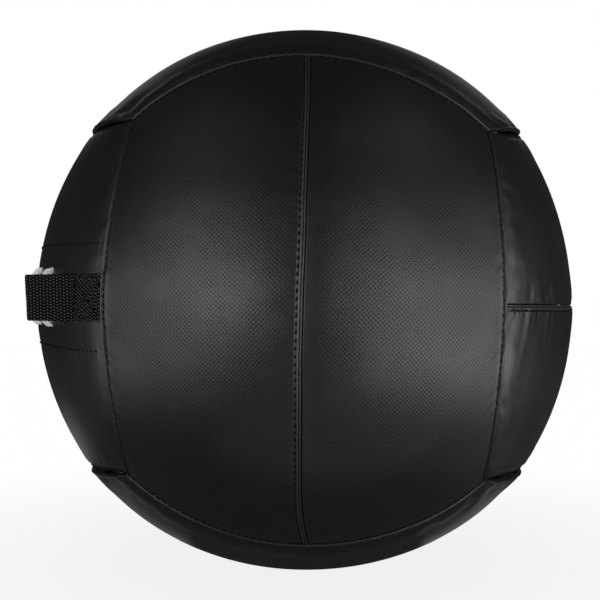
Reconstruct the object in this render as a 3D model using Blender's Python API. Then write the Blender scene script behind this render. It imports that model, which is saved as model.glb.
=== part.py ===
"""A soft wall ball, 14 inches across, with a laced cover and a webbing grab strap.

The cover is twelve sewn panels in six pairs, like the faces of a cube blown up round.
Each pair meets along a centre seam, and the seam turns a quarter turn from face to face.
Units are metres and +Z is up. The origin is the middle of the small flat that the ball
rests on. The front faces -Y, and the laced opening with its strap is on the -X side.
"""

import math

import bmesh
import bpy
from mathutils import Matrix, Vector

# Driving sizes of the whole ball
BALL_DIAMETER = 0.3556
RESTING_FLAT_RADIUS = 0.034
FIT_GAP = 0.0003
CUT_OVERRUN = 0.004
MERGE_DISTANCE = 0.00001

# Cover panels and their seams
COVER_THICKNESS = 0.0015
LAP_WIDTH = 0.005
SEAM_SHOULDER = 0.007
SEAM_DRAW = 0.0009
LIP_DRAW = 0.0003
LONG_SEAM_SHARE = 0.61
CORNER_SHARE = 1 / math.sqrt(3)

# Laced opening in the left face
SLIT_HALF_WIDTH = 0.010
SLIT_END_ANGLE = math.radians(38)
LACE_ROW_OFFSET = 0.017
LACE_HOLE_DIAMETER = 0.007
LACE_PAIRS = 8
LACE_PITCH_ANGLE = math.radians(9.15)
PATCH_HALF_WIDTH = 0.034
PATCH_END_GAP = 0.002
TONGUE_HALF_WIDTH = 0.024
TONGUE_END_ANGLE = math.radians(41)

# Lacing cord and the hitch that ties it off
CORD_DIAMETER = 0.005
CORD_CLEARANCE = 0.00035
HITCH_CORD_DIAMETER = 0.0034
HITCH_ANGLE = math.radians(33.2)

# Grab strap of one inch webbing
STRAP_WIDTH = 0.0254
STRAP_THICKNESS = 0.0015
STRAP_SEWN_LENGTH = 0.031
STRAP_END_GAP = 0.002
STRAP_LEAVE_ANGLE = math.radians(28)
STRAP_LIE_END_ANGLE = math.radians(17)
STRAP_FOLD_RADIUS = 0.004
STRAP_HUMP_RADIUS = 0.011

# Padding, fill and ballast
PADDING_THICKNESS = 0.018
POCKET_MARGIN = 0.003
BALLAST_RADIUS = 0.060
BAG_THICKNESS = 0.001
BAG_NECK_RADIUS = 0.012
BAG_NECK_LENGTH = 0.026
BAG_NECK_BORE_RADIUS = 0.004
BAG_FRILL_RADIUS = 0.020
TIE_PLACE_SHARE = 0.35
GRAIN_TOP_SHARE = 0.5
NECK_TIE_DIAMETER = 0.004

# Fineness of the faceted surfaces
PANEL_STEPS = 6
EVEN_STEP_ANGLE = math.radians(45)
FACET_SHARE = 0.6
TURN_STEPS = 20
DOME_STEPS = 6
STRAP_BEND_STEPS = 4
STRAP_LIE_STEPS = 6
STRAP_SEWN_STEPS = 6
CORD_RING_STEPS = 2
HOLE_SIDES = 8
CORD_STEP = 0.0092
HITCH_STEPS = 16
SHARP_ANGLE = math.radians(35)

# Sizes that follow from the ones above
BALL_RADIUS = BALL_DIAMETER / 2
CENTRE_HEIGHT = math.sqrt(BALL_RADIUS**2 - RESTING_FLAT_RADIUS**2)
CENTRE = Vector((0, 0, CENTRE_HEIGHT))
CORD_RADIUS = CORD_DIAMETER / 2
TUCK_DEPTH = LIP_DRAW + COVER_THICKNESS + FIT_GAP
FACET_SAG = BALL_RADIUS * (1 - math.cos(EVEN_STEP_ANGLE / PANEL_STEPS * FACET_SHARE))
PATCH_DEPTH = LIP_DRAW + COVER_THICKNESS + FIT_GAP + FACET_SAG
CORD_OVER_HEIGHT = CORD_CLEARANCE + CORD_RADIUS
CORD_UNDER_DEPTH = PATCH_DEPTH + COVER_THICKNESS + FACET_SAG + CORD_CLEARANCE + CORD_RADIUS
TONGUE_DEPTH = CORD_UNDER_DEPTH + CORD_RADIUS + FIT_GAP
POCKET_DEPTH = TONGUE_DEPTH + COVER_THICKNESS + FACET_SAG + FIT_GAP
PADDING_DEPTH = TUCK_DEPTH + SEAM_DRAW + COVER_THICKNESS + FIT_GAP + FACET_SAG
FILL_DEPTH = PADDING_DEPTH + PADDING_THICKNESS + FIT_GAP
BAG_SAG = BALLAST_RADIUS * (1 - math.cos(math.pi / DOME_STEPS / 4))
BAG_RADIUS = BALLAST_RADIUS + FIT_GAP + BAG_SAG + BAG_THICKNESS

# The outward, centre seam and cross directions of each face
FACES = {
    "front": (Vector((0, -1, 0)), Vector((0, 0, 1)), Vector((1, 0, 0))),
    "back": (Vector((0, 1, 0)), Vector((0, 0, 1)), Vector((1, 0, 0))),
    "left": (Vector((-1, 0, 0)), Vector((0, 1, 0)), Vector((0, 0, 1))),
    "right": (Vector((1, 0, 0)), Vector((0, 1, 0)), Vector((0, 0, 1))),
    "top": (Vector((0, 0, 1)), Vector((1, 0, 0)), Vector((0, 1, 0))),
    "bottom": (Vector((0, 0, -1)), Vector((1, 0, 0)), Vector((0, 1, 0))),
}

# Panel names, below and above the centre seam in the face's cross direction
PANEL_NAMES = {
    "front": ("front_left_panel", "front_right_panel"),
    "back": ("back_left_panel", "back_right_panel"),
    "left": ("left_lower_panel", "left_upper_panel"),
    "right": ("right_lower_panel", "right_upper_panel"),
    "top": ("top_front_panel", "top_back_panel"),
    "bottom": ("bottom_front_panel", "bottom_back_panel"),
}

# How deep the lip of a face's centre seam lies: the bottom one is pressed flush
CENTRE_DRAW = {
    "front": LIP_DRAW,
    "back": LIP_DRAW,
    "left": LIP_DRAW,
    "right": LIP_DRAW,
    "top": LIP_DRAW,
    "bottom": 0.0,
}

# How deep the cover dips at a face's two short ends and at its two long seams
END_DRAW = {
    "front": SEAM_DRAW,
    "back": SEAM_DRAW,
    "left": LIP_DRAW,
    "right": LIP_DRAW,
    "top": LIP_DRAW,
    "bottom": LIP_DRAW,
}
LONG_DRAW = {
    "front": SEAM_DRAW,
    "back": SEAM_DRAW,
    "left": SEAM_DRAW,
    "right": SEAM_DRAW,
    "top": LIP_DRAW,
    "bottom": LIP_DRAW,
}

# Rows of the tongue and of the padding's pocket, as shares of their half widths
TONGUE_ROW_SHARES = (-1, -0.33, 0.33, 1)
POCKET_ROW_SHARES = (-1, -0.4, 0.4, 1)

# The cord's way from hole to hole: shares of the way and of the rise from under the cover
# to over it, for the strand that crosses on top and for the one below
HIGH_STRAND_SHARES = (
    (0.09, 1.0), (0.29, 1.01), (0.49, 0.99), (0.60, 0.76), (0.68, 0.30), (0.75, 0.02), (0.91, 0.01),
)
LOW_STRAND_SHARES = (
    (0.09, 1.0), (0.22, 1.0), (0.31, 0.81), (0.41, 0.47), (0.50, 0.23), (0.62, 0.03), (0.91, 0.01),
)
# Levels inside a hole, as shares of the same rise
HOLE_LEVEL_SHARES = (0.16, 0.42, 0.74)
# The tails: shares of the pitch, of the way in to the middle, and of the rise
TAIL_SHARES = (
    (-0.03, 0.20, 0.99), (-0.13, 0.50, 1.01), (-0.16, 0.80, 1.0), (-0.06, 0.97, 1.0),
    (0.06, 1.0, 1.0), (0.22, 1.0, 0.96), (0.34, 1.0, 0.50), (0.44, 1.0, 0.10), (0.53, 1.0, 0.0),
)
BAR_LEAD_SHARE = 0.06
BAR_SHARES = (-0.8, -0.3, 0.3, 0.8)
CORD_NEIGHBOUR_SHARE = 5.0

MATERIALS = {
    "cover": ((0.012, 0.012, 0.013), 0.42, 0.0),
    "patch": ((0.020, 0.020, 0.021), 0.70, 0.0),
    "webbing": ((0.008, 0.008, 0.008), 0.75, 0.0),
    "cord": ((0.780, 0.780, 0.760), 0.80, 0.0),
    "padding": ((0.550, 0.550, 0.560), 0.90, 0.0),
    "fill": ((0.300, 0.320, 0.360), 0.95, 0.0),
    "bag": ((0.620, 0.560, 0.440), 0.90, 0.0),
    "ballast": ((0.090, 0.080, 0.075), 0.60, 0.4),
}


def clear_scene():
    """Start from an empty scene."""
    for old in list(bpy.data.objects):
        bpy.data.objects.remove(old, do_unlink=True)


def material(name):
    """A plain material with the colour, roughness and metallic value of its entry."""
    if name in bpy.data.materials:
        return bpy.data.materials[name]
    colour, roughness, metallic = MATERIALS[name]
    made = bpy.data.materials.new(name)
    made.use_nodes = True
    shader = made.node_tree.nodes["Principled BSDF"]
    shader.inputs["Base Color"].default_value = (*colour, 1)
    shader.inputs["Roughness"].default_value = roughness
    shader.inputs["Metallic"].default_value = metallic
    return made


def place(name, data, material_name):
    """Add mesh or curve data to the scene as one named piece."""
    piece = bpy.data.objects.new(name, data)
    bpy.context.scene.collection.objects.link(piece)
    data.materials.append(material(material_name))
    return piece


def piece_from(name, bm, material_name):
    """Turn finished bmesh data into a smooth shaded piece with its faces pointing out."""
    bmesh.ops.recalc_face_normals(bm, faces=bm.faces)
    mesh = bpy.data.meshes.new(name)
    bm.to_mesh(mesh)
    bm.free()
    mesh.shade_smooth()
    mesh.set_sharp_from_angle(angle=SHARP_ANGLE)
    return place(name, mesh, material_name)


def even_share(share):
    """Spread steps so that they come out nearly even along the round surface."""
    return math.sin(share * EVEN_STEP_ANGLE) / math.sin(EVEN_STEP_ANGLE)


def long_seam(along):
    """Distance of a long seam from its face's middle plane, in radii."""
    bow = LONG_SEAM_SHARE - CORNER_SHARE
    return LONG_SEAM_SHARE - bow * (along / CORNER_SHARE) ** 2


def surface_point(direction, depth):
    """The point at a depth under the ball's round surface, settled on the resting flat."""
    point = CENTRE + direction * (BALL_RADIUS - depth)
    point.z = max(point.z, depth)
    return point


def face_direction(face, along, across):
    """Unit direction with the given parts along and across a face's centre seam."""
    outward, seam, cross = FACES[face]
    rise = math.sqrt(1 - along**2 - across**2)
    return outward * rise + seam * along + cross * across


def curved_plate(name, directions, outer_depths, inner_depths, material_name):
    """A closed plate between two depths, over a grid of directions."""
    bm = bmesh.new()
    rows = len(directions)
    columns = len(directions[0])
    skins = []
    for depths in (outer_depths, inner_depths):
        skin = [
            [bm.verts.new(surface_point(directions[r][c], depths[r][c])) for c in range(columns)]
            for r in range(rows)
        ]
        skins.append(skin)
    for skin in skins:
        for r in range(rows - 1):
            for c in range(columns - 1):
                bm.faces.new((skin[r][c], skin[r][c + 1], skin[r + 1][c + 1], skin[r + 1][c]))
    outer, inner = (
        skin[0][:-1]
        + [row[-1] for row in skin[:-1]]
        + skin[-1][:0:-1]
        + [row[0] for row in skin[:0:-1]]
        for skin in skins
    )
    for here in range(len(outer)):
        after = (here + 1) % len(outer)
        bm.faces.new((outer[here], outer[after], inner[after], inner[here]))
    return piece_from(name, bm, material_name)


def column_shares():
    """Places of a panel's cross lines, from one short end to the other."""
    shoulder = SEAM_SHOULDER / (CORNER_SHARE * BALL_RADIUS)
    half = [even_share(step / PANEL_STEPS) for step in range(1, PANEL_STEPS)]
    half += [1 - shoulder, 1.0]
    return [-share for share in reversed(half)] + [0.0] + half


def left_end_angle():
    """Angle from the middle of the left face to the seams at its short ends."""
    return math.acos(LONG_SEAM_SHARE)


def slit_offset(column):
    """Half the width of the laced slit at a cross line of its panels."""
    if abs(column) * math.sin(left_end_angle()) < math.sin(SLIT_END_ANGLE):
        return SLIT_HALF_WIDTH
    return FIT_GAP / 2


def panel_rows(face, kind):
    """Rows from the centre seam to the long seam: share of the way, offset and depth."""
    shoulder_offset = LAP_WIDTH / 2 + SEAM_SHOULDER
    if kind == "lapping":
        rows = [(0.0, -LAP_WIDTH / 2, CENTRE_DRAW[face]), (0.0, shoulder_offset, 0.0)]
    elif kind == "tucked":
        rows = [(0.0, -LAP_WIDTH / 2, TUCK_DEPTH), (0.0, LAP_WIDTH / 2 + FIT_GAP, TUCK_DEPTH)]
        rows += [(0.0, shoulder_offset, 0.0)]
    else:
        rows = [(0.0, slit_offset, 0.0)]
    first_step = 1 if kind != "slit" else 2
    if kind == "slit":
        rows += [(0.0, LACE_ROW_OFFSET, 0.0)]
    rows += [(even_share(step / PANEL_STEPS), 0.0, 0.0) for step in range(first_step, PANEL_STEPS)]
    shoulder = SEAM_SHOULDER / (LONG_SEAM_SHARE * BALL_RADIUS)
    rows += [(1 - shoulder, 0.0, 0.0), (1.0, -FIT_GAP / 2, LONG_DRAW[face])]
    return rows


def row_place(share, offset, column):
    """Parts along and across the centre seam of one corner in a panel's grid, in radii."""
    level = offset(column) if callable(offset) else offset
    across = share * long_seam(column * CORNER_SHARE) + level / BALL_RADIUS
    end_level = offset(1.0) if callable(offset) else offset
    end_across = share * CORNER_SHARE + end_level / BALL_RADIUS
    end_along = math.sqrt(1 - end_across**2 - long_seam(end_across) ** 2)
    along = column * end_along
    if abs(column) == 1:
        along -= column * FIT_GAP / 2 / BALL_RADIUS
    return along, across


def cover_panel(face, side, kind):
    """One sewn panel of the cover, on one side of its face's centre seam."""
    name = PANEL_NAMES[face][side]
    sign = (-1, 1)[side]
    columns = column_shares()
    directions = []
    depths = []
    for share, offset, depth in panel_rows(face, kind):
        row_directions = []
        row_depths = []
        for column in columns:
            along, across = row_place(share, offset, column)
            row_directions.append(face_direction(face, along, sign * across))
            row_depths.append(depth + END_DRAW[face] if abs(column) == 1 else depth)
        directions.append(row_directions)
        depths.append(row_depths)
    inner = [[depth + COVER_THICKNESS for depth in row] for row in depths]
    return curved_plate(name, directions, depths, inner, "cover")


def lace_point(angle, offset, height):
    """A point near the laced opening: angle along it, offset above it, height over the cover."""
    across = offset / BALL_RADIUS
    along = math.sin(angle) * math.sqrt(1 - across**2)
    return CENTRE + face_direction("left", along, across) * (BALL_RADIUS + height)


def lace_angles():
    """Angles of the hole pairs, from the front end of the opening to the back."""
    first = -LACE_PITCH_ANGLE * (LACE_PAIRS - 1) / 2
    return [first + LACE_PITCH_ANGLE * pair for pair in range(LACE_PAIRS)]


def cut(piece, cutter):
    """Subtract a cutter from a piece and leave the cutter out of the model."""
    cutter.hide_render = True
    cutter.display_type = "WIRE"
    difference = piece.modifiers.new("cut", "BOOLEAN")
    difference.operation = "DIFFERENCE"
    difference.solver = "EXACT"
    difference.object = cutter


def lace_hole_cutter(sign):
    """Round cutters for one row of lace holes, joined into one cutter."""
    bm = bmesh.new()
    for angle in lace_angles():
        hole = lace_point(angle, sign * LACE_ROW_OFFSET, 0)
        outward = (hole - CENTRE).normalized()
        turn = outward.to_track_quat("Z", "Y").to_matrix().to_4x4()
        middle = hole - outward * (PATCH_DEPTH + COVER_THICKNESS) / 2
        bmesh.ops.create_cone(
            bm,
            cap_ends=True,
            segments=HOLE_SIDES,
            radius1=LACE_HOLE_DIAMETER / 2,
            radius2=LACE_HOLE_DIAMETER / 2,
            depth=PATCH_DEPTH + COVER_THICKNESS + 2 * CUT_OVERRUN,
            matrix=Matrix.Translation(middle) @ turn,
        )
    return piece_from("lace_hole_cutter_" + ("lower" if sign < 0 else "upper"), bm, "patch")


def lace_plate(name, offsets, end_angle, depth, thickness, material_name):
    """A strip of cover cloth along the laced opening, between the given offsets."""
    steps = 2 * PANEL_STEPS
    directions = []
    for offset in offsets:
        row = []
        for step in range(steps + 1):
            angle = end_angle * (2 * step / steps - 1)
            across = offset / BALL_RADIUS
            along = math.sin(angle) * math.sqrt(1 - across**2)
            row.append(face_direction("left", along, across))
        directions.append(row)
    outer = [[depth] * (steps + 1) for _ in offsets]
    inner = [[depth + thickness] * (steps + 1) for _ in offsets]
    return curved_plate(name, directions, outer, inner, material_name)


def laced_face():
    """The two panels of the left face and the patches that back their lace holes."""
    patch_end = left_end_angle() - PATCH_END_GAP / BALL_RADIUS
    for side, sign in ((0, -1), (1, 1)):
        panel = cover_panel("left", side, "slit")
        offsets = [sign * size for size in (SLIT_HALF_WIDTH, LACE_ROW_OFFSET, PATCH_HALF_WIDTH)]
        name = ("lower_lace_patch", "upper_lace_patch")[side]
        patch = lace_plate(name, offsets, patch_end, PATCH_DEPTH, COVER_THICKNESS, "patch")
        cutter = lace_hole_cutter(sign)
        cut(panel, cutter)
        cut(patch, cutter)


def lace_tongue():
    """The flap that closes the opening behind the lacing."""
    offsets = [share * TONGUE_HALF_WIDTH for share in TONGUE_ROW_SHARES]
    lace_plate("lace_tongue", offsets, TONGUE_END_ANGLE, TONGUE_DEPTH, COVER_THICKNESS, "patch")


def strand(first_side):
    """One strand of the cord, from the front pair of holes to the last: angle, offset, height."""
    lift = CORD_OVER_HEIGHT + CORD_UNDER_DEPTH
    route = []
    side = first_side
    for pair, angle in enumerate(lace_angles()):
        hole = side * LACE_ROW_OFFSET
        for level in HOLE_LEVEL_SHARES:
            route.append((angle, hole, lift * level - CORD_UNDER_DEPTH))
        if pair == LACE_PAIRS - 1:
            break
        for share, level in HIGH_STRAND_SHARES if side > 0 else LOW_STRAND_SHARES:
            height = lift * level - CORD_UNDER_DEPTH
            route.append((angle + LACE_PITCH_ANGLE * share, hole * (1 - 2 * share), height))
        side = -side
    return route


def strand_tail(side):
    """The end of a strand, from its last hole through the hitch and down into the slit."""
    lift = CORD_OVER_HEIGHT + CORD_UNDER_DEPTH
    last = lace_angles()[-1]
    hole = side * LACE_ROW_OFFSET
    beside = side * (CORD_RADIUS + CORD_CLEARANCE)
    route = []
    for back, inward, level in TAIL_SHARES:
        angle = last + LACE_PITCH_ANGLE * back
        route.append((angle, hole + (beside - hole) * inward, lift * level - CORD_UNDER_DEPTH))
    return route


def cord_route():
    """The whole cord, from tail to tail, with its bar between the two front holes."""
    bar = lace_angles()[0] - LACE_PITCH_ANGLE * BAR_LEAD_SHARE
    depth = -CORD_UNDER_DEPTH
    last_side = 1 if LACE_PAIRS % 2 else -1
    first = strand(1) + strand_tail(last_side)
    second = strand(-1) + strand_tail(-last_side)
    middle = [(bar, -share * LACE_ROW_OFFSET, depth) for share in BAR_SHARES]
    return [lace_point(*place) for place in first[::-1] + middle + second]


def smooth_points(points, longest):
    """A smooth curve through the points, with steps no longer than the given length."""
    padded = [points[0] * 2 - points[1]] + points + [points[-1] * 2 - points[-2]]
    smooth = []
    for before, start, end, after in zip(padded, padded[1:], padded[2:], padded[3:]):
        steps = max(1, math.ceil((end - start).length / longest))
        for step in range(steps):
            share = step / steps
            bend = (before * -1 + start * 3 - end * 3 + after) * share**3
            bow = (before * 2 - start * 5 + end * 4 - after) * share**2
            slope = (end - before) * share
            smooth.append((bend + bow + slope) / 2 + start)
    return smooth + [points[-1]]


def tube(name, points, radius, material_name, closed=False):
    """A round cord through the points, with filled ends."""
    curve = bpy.data.curves.new(name, "CURVE")
    curve.dimensions = "3D"
    curve.bevel_depth = radius
    curve.bevel_resolution = CORD_RING_STEPS
    curve.use_fill_caps = not closed
    spline = curve.splines.new("POLY")
    spline.points.add(len(points) - 1)
    for place_on_curve, point in zip(spline.points, points):
        place_on_curve.co = (*point, 1)
    spline.use_cyclic_u = closed
    spline.use_smooth = True
    return place(name, curve, material_name)


def least_gap(points, radius):
    """The least gap between stretches of one cord that lie well apart along it."""
    skip = math.ceil(CORD_NEIGHBOUR_SHARE * radius / CORD_STEP)
    least = math.inf
    for here, point in enumerate(points):
        for other in points[here + skip :]:
            least = min(least, (other - point).length)
    return least - 2 * radius


def lacing():
    """The lacing cord and the hitch that ties its two tails together."""
    points = smooth_points(cord_route(), CORD_STEP)
    tube("lacing_cord", points, CORD_RADIUS, "cord")
    print("lacing cord: least gap to itself", round(least_gap(points, CORD_RADIUS) * 1000, 2), "mm")
    half_width = 2 * (CORD_RADIUS + CORD_CLEARANCE) + HITCH_CORD_DIAMETER / 2
    half_height = CORD_RADIUS + 2 * CORD_CLEARANCE + HITCH_CORD_DIAMETER / 2
    ring = []
    for step in range(HITCH_STEPS):
        turn = 2 * math.pi * step / HITCH_STEPS
        height = CORD_OVER_HEIGHT + half_height * math.sin(turn)
        ring.append(lace_point(HITCH_ANGLE, half_width * math.cos(turn), height))
    tube("lacing_hitch", ring, HITCH_CORD_DIAMETER / 2, "cord", closed=True)


def outward_at(angle):
    """Outward direction in the strap's plane, at an angle from the middle of the left face."""
    return Vector((-math.cos(angle), math.sin(angle), 0))


def forward_at(angle):
    """Direction along the cover in the strap's plane, towards the front, at that angle."""
    return Vector((-math.sin(angle), -math.cos(angle), 0))


def rounded_corner(corner, before, after, radius):
    """An arc of the given radius where two straight runs meet."""
    turn = before.angle(after)
    reach = radius * math.tan(turn / 2)
    start = corner - before * reach
    middle = start + (after - before * before.dot(after)).normalized() * radius
    axis = before.cross(after).normalized()
    steps = range(STRAP_BEND_STEPS + 1)
    arm = start - middle
    return [middle + Matrix.Rotation(turn * k / STRAP_BEND_STEPS, 3, axis) @ arm for k in steps]


def strap_half_route():
    """Middle line of the strap from its middle to its front sewn end, from the ball's centre."""
    sewn_radius = BALL_RADIUS + FIT_GAP + STRAP_THICKNESS / 2
    lie_radius = BALL_RADIUS + CORD_OVER_HEIGHT + CORD_RADIUS + CORD_CLEARANCE
    lie_radius += STRAP_THICKNESS / 2
    end_angle = left_end_angle() - STRAP_END_GAP / BALL_RADIUS
    fold_angle = end_angle - STRAP_SEWN_LENGTH / BALL_RADIUS
    fold = outward_at(-fold_angle) * sewn_radius
    lie_end = outward_at(-STRAP_LIE_END_ANGLE) * lie_radius
    along_lie = forward_at(-STRAP_LIE_END_ANGLE)
    along_cover = forward_at(-fold_angle)
    down = along_cover * math.cos(STRAP_LEAVE_ANGLE)
    down -= outward_at(-fold_angle) * math.sin(STRAP_LEAVE_ANGLE)
    reach = (fold - lie_end).cross(down).z / along_lie.cross(down).z
    hump = lie_end + along_lie * reach
    route = []
    for step in range(STRAP_LIE_STEPS + 1):
        route.append(outward_at(-STRAP_LIE_END_ANGLE * step / STRAP_LIE_STEPS) * lie_radius)
    route += rounded_corner(hump, along_lie, down, STRAP_HUMP_RADIUS)
    route += rounded_corner(fold, down, along_cover, STRAP_FOLD_RADIUS)
    for step in range(1, STRAP_SEWN_STEPS + 1):
        angle = fold_angle + (end_angle - fold_angle) * step / STRAP_SEWN_STEPS
        route.append(outward_at(-angle) * sewn_radius)
    return route


def grab_strap():
    """The webbing strap, sewn down at both ends and lying over the lacing between them."""
    half = strap_half_route()
    route = [Vector((p.x, -p.y, p.z)) for p in half[:0:-1]] + half
    bm = bmesh.new()
    rings = []
    for here, point in enumerate(route):
        before = route[max(here - 1, 0)]
        after = route[min(here + 1, len(route) - 1)]
        along = (after - before).normalized()
        thick = along.cross(Vector((0, 0, 1))) * STRAP_THICKNESS / 2
        wide = Vector((0, 0, STRAP_WIDTH / 2))
        corners = (thick + wide, thick - wide, -thick - wide, -thick + wide)
        rings.append([bm.verts.new(CENTRE + point + corner) for corner in corners])
    for ring, following in zip(rings, rings[1:]):
        for corner in range(4):
            beside = (corner + 1) % 4
            bm.faces.new((ring[corner], ring[beside], following[beside], following[corner]))
    bm.faces.new(rings[0])
    bm.faces.new(rings[-1])
    piece_from("grab_strap", bm, "webbing")


def turned(name, profile, material_name):
    """A solid turned about the ball's upright axis from a profile of radius and height."""
    bm = bmesh.new()
    verts = [bm.verts.new((radius, 0, height)) for radius, height in profile]
    edges = [bm.edges.new(pair) for pair in zip(verts, verts[1:])]
    if profile[0][0] > 0:
        edges.append(bm.edges.new((verts[-1], verts[0])))
    bmesh.ops.spin(
        bm,
        geom=verts + edges,
        cent=(0, 0, 0),
        axis=(0, 0, 1),
        angle=2 * math.pi,
        steps=TURN_STEPS,
        use_merge=True,
    )
    bmesh.ops.remove_doubles(bm, verts=bm.verts, dist=MERGE_DISTANCE)
    return piece_from(name, bm, material_name)


def dome_arc(depth, sign):
    """Profile of a half ball at a depth under the cover, from its pole to its rim."""
    radius = BALL_RADIUS - depth
    rim = math.asin(FIT_GAP / 2 / radius)
    arc = []
    for step in range(DOME_STEPS + 1):
        angle = math.pi / 2 + (rim - math.pi / 2) * step / DOME_STEPS
        height = CENTRE_HEIGHT + sign * radius * math.sin(angle)
        reach = radius * math.cos(angle) if step else 0.0
        arc.append((reach, max(height, depth)))
    return arc


def padding():
    """Two half shells of foam that meet on the level of the laced opening."""
    pocket_end_angle = TONGUE_END_ANGLE + POCKET_MARGIN / BALL_RADIUS
    for name, sign in (("lower_padding", -1), ("upper_padding", 1)):
        profile = dome_arc(PADDING_DEPTH, sign)
        profile += dome_arc(PADDING_DEPTH + PADDING_THICKNESS, sign)[::-1]
        half = turned(name, profile, "padding")
        offsets = [share * (PATCH_HALF_WIDTH + POCKET_MARGIN) for share in POCKET_ROW_SHARES]
        pocket = lace_plate(
            "pocket_cutter_" + name,
            offsets,
            pocket_end_angle,
            -CUT_OVERRUN,
            POCKET_DEPTH + CUT_OVERRUN,
            "padding",
        )
        cut(half, pocket)


def bag_arc(radius, top_radius):
    """Profile of the ballast bag's round body, from its bottom to its neck."""
    stop = math.acos(top_radius / radius)
    arc = []
    for step in range(2 * DOME_STEPS + 1):
        angle = -math.pi / 2 + (stop + math.pi / 2) * step / (2 * DOME_STEPS)
        reach = radius * math.cos(angle) if step else 0.0
        arc.append((reach, CENTRE_HEIGHT + radius * math.sin(angle)))
    return arc


def ballast():
    """The heavy core: loose grain in a cloth bag with a tied neck."""
    neck_base = CENTRE_HEIGHT + BAG_RADIUS
    tie_height = neck_base + BAG_NECK_LENGTH * TIE_PLACE_SHARE
    frill_top = neck_base + BAG_NECK_LENGTH
    body = bag_arc(BAG_RADIUS, BAG_NECK_RADIUS)
    neck = [
        (BAG_NECK_RADIUS, tie_height),
        (BAG_FRILL_RADIUS, frill_top),
        (BAG_FRILL_RADIUS - BAG_THICKNESS, frill_top),
        (BAG_NECK_BORE_RADIUS, tie_height),
    ]
    cavity = bag_arc(BAG_RADIUS - BAG_THICKNESS, BAG_NECK_BORE_RADIUS)
    turned("ballast_bag", body + neck + cavity[::-1], "bag")
    grain = bag_arc(BALLAST_RADIUS, BALLAST_RADIUS * GRAIN_TOP_SHARE)
    turned("ballast", grain + [(0.0, grain[-1][1])], "ballast")
    tie_radius = BAG_NECK_RADIUS + FIT_GAP + NECK_TIE_DIAMETER / 2
    ring = []
    for step in range(TURN_STEPS):
        turn = 2 * math.pi * step / TURN_STEPS
        ring.append(Vector((tie_radius * math.cos(turn), tie_radius * math.sin(turn), tie_height)))
    tube("ballast_bag_tie", ring, NECK_TIE_DIAMETER / 2, "cord", closed=True)


def fill():
    """The shredded textile fill, as two halves packed round the ballast bag."""
    bag_room = BAG_RADIUS + FIT_GAP + BAG_SAG
    rim = math.asin(FIT_GAP / 2 / bag_room)
    neck_room = BAG_FRILL_RADIUS + FIT_GAP
    neck_top = CENTRE_HEIGHT + BAG_RADIUS + BAG_NECK_LENGTH + FIT_GAP
    recess = []
    for step in range(DOME_STEPS + 1):
        angle = rim + (math.pi / 2 - rim) * step / DOME_STEPS
        recess.append((bag_room * math.cos(angle), bag_room * math.sin(angle)))
    lower = [(reach, CENTRE_HEIGHT - rise) for reach, rise in recess[:-1]]
    lower += [(0.0, CENTRE_HEIGHT - bag_room)]
    turned("lower_fill", dome_arc(FILL_DEPTH, -1) + lower, "fill")
    upper = [(r, CENTRE_HEIGHT + h) for r, h in recess if r > neck_room]
    upper += [
        (neck_room, CENTRE_HEIGHT + math.sqrt(bag_room**2 - neck_room**2)),
        (neck_room, neck_top),
        (0.0, neck_top),
    ]
    turned("upper_fill", dome_arc(FILL_DEPTH, 1) + upper, "fill")


def main():
    clear_scene()
    for face in FACES:
        if face == "left":
            laced_face()
            continue
        cover_panel(face, 0, "lapping")
        cover_panel(face, 1, "tucked")
    lace_tongue()
    lacing()
    grab_strap()
    padding()
    fill()
    ballast()


main()
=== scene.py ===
"""The looks of a soft wall ball: twelve sewn cover panels, a laced opening and a grab strap.

Units are metres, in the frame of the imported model. Each piece made here lies where the plain
solid that it replaces lies. The front faces -Y, and the laced opening is on the -X side.
"""

import math

import bmesh
import bpy
import numpy as np
from mathutils import Matrix, Vector, noise


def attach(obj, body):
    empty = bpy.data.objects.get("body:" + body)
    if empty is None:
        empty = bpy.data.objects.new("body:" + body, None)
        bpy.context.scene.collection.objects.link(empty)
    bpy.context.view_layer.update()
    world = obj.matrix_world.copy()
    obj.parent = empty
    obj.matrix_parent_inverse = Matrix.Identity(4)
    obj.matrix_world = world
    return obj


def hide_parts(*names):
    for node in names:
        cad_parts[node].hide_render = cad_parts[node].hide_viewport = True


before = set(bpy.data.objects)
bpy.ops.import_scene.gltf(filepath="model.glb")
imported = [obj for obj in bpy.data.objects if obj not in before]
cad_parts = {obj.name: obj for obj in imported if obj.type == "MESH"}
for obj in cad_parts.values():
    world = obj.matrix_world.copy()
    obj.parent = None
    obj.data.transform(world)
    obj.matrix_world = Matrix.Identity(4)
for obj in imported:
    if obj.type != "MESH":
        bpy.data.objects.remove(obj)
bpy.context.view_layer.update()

# Sizes shared with the solids
BALL_RADIUS = 0.1778
FLAT_RADIUS = 0.034
COVER_THICKNESS = 0.0015
SEAM_GAP = 0.00015
LONG_SEAM_SHARE = 0.61
CORNER_SHARE = 1 / math.sqrt(3)
LAP_HALF_WIDTH = 0.0025
SLIT_HALF_WIDTH = 0.010
SLIT_END_ANGLE = math.radians(38)
SLIT_CLOSING = (SLIT_END_ANGLE - 0.05, SLIT_END_ANGLE + 0.04)
LACE_ROW_OFFSET = 0.0157
LACE_HOLE_DIAMETER = 0.007
LACE_PAIRS = 8
LACE_PITCH_ANGLE = math.radians(9.15)
PATCH_HALF_WIDTH = 0.034
PATCH_DEPTH = 0.00265
TONGUE_HALF_WIDTH = 0.024
TONGUE_END_ANGLE = math.radians(41)
TONGUE_DEPTH = 0.01015
CORD_DIAMETER = 0.005
CORD_OVER_HEIGHT = 0.00285
CORD_UNDER_DEPTH = 0.00755
HITCH_CORD_DIAMETER = 0.0034
HITCH_ANGLE = math.radians(33.2)
STRAP_WIDTH = 0.0266
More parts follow.
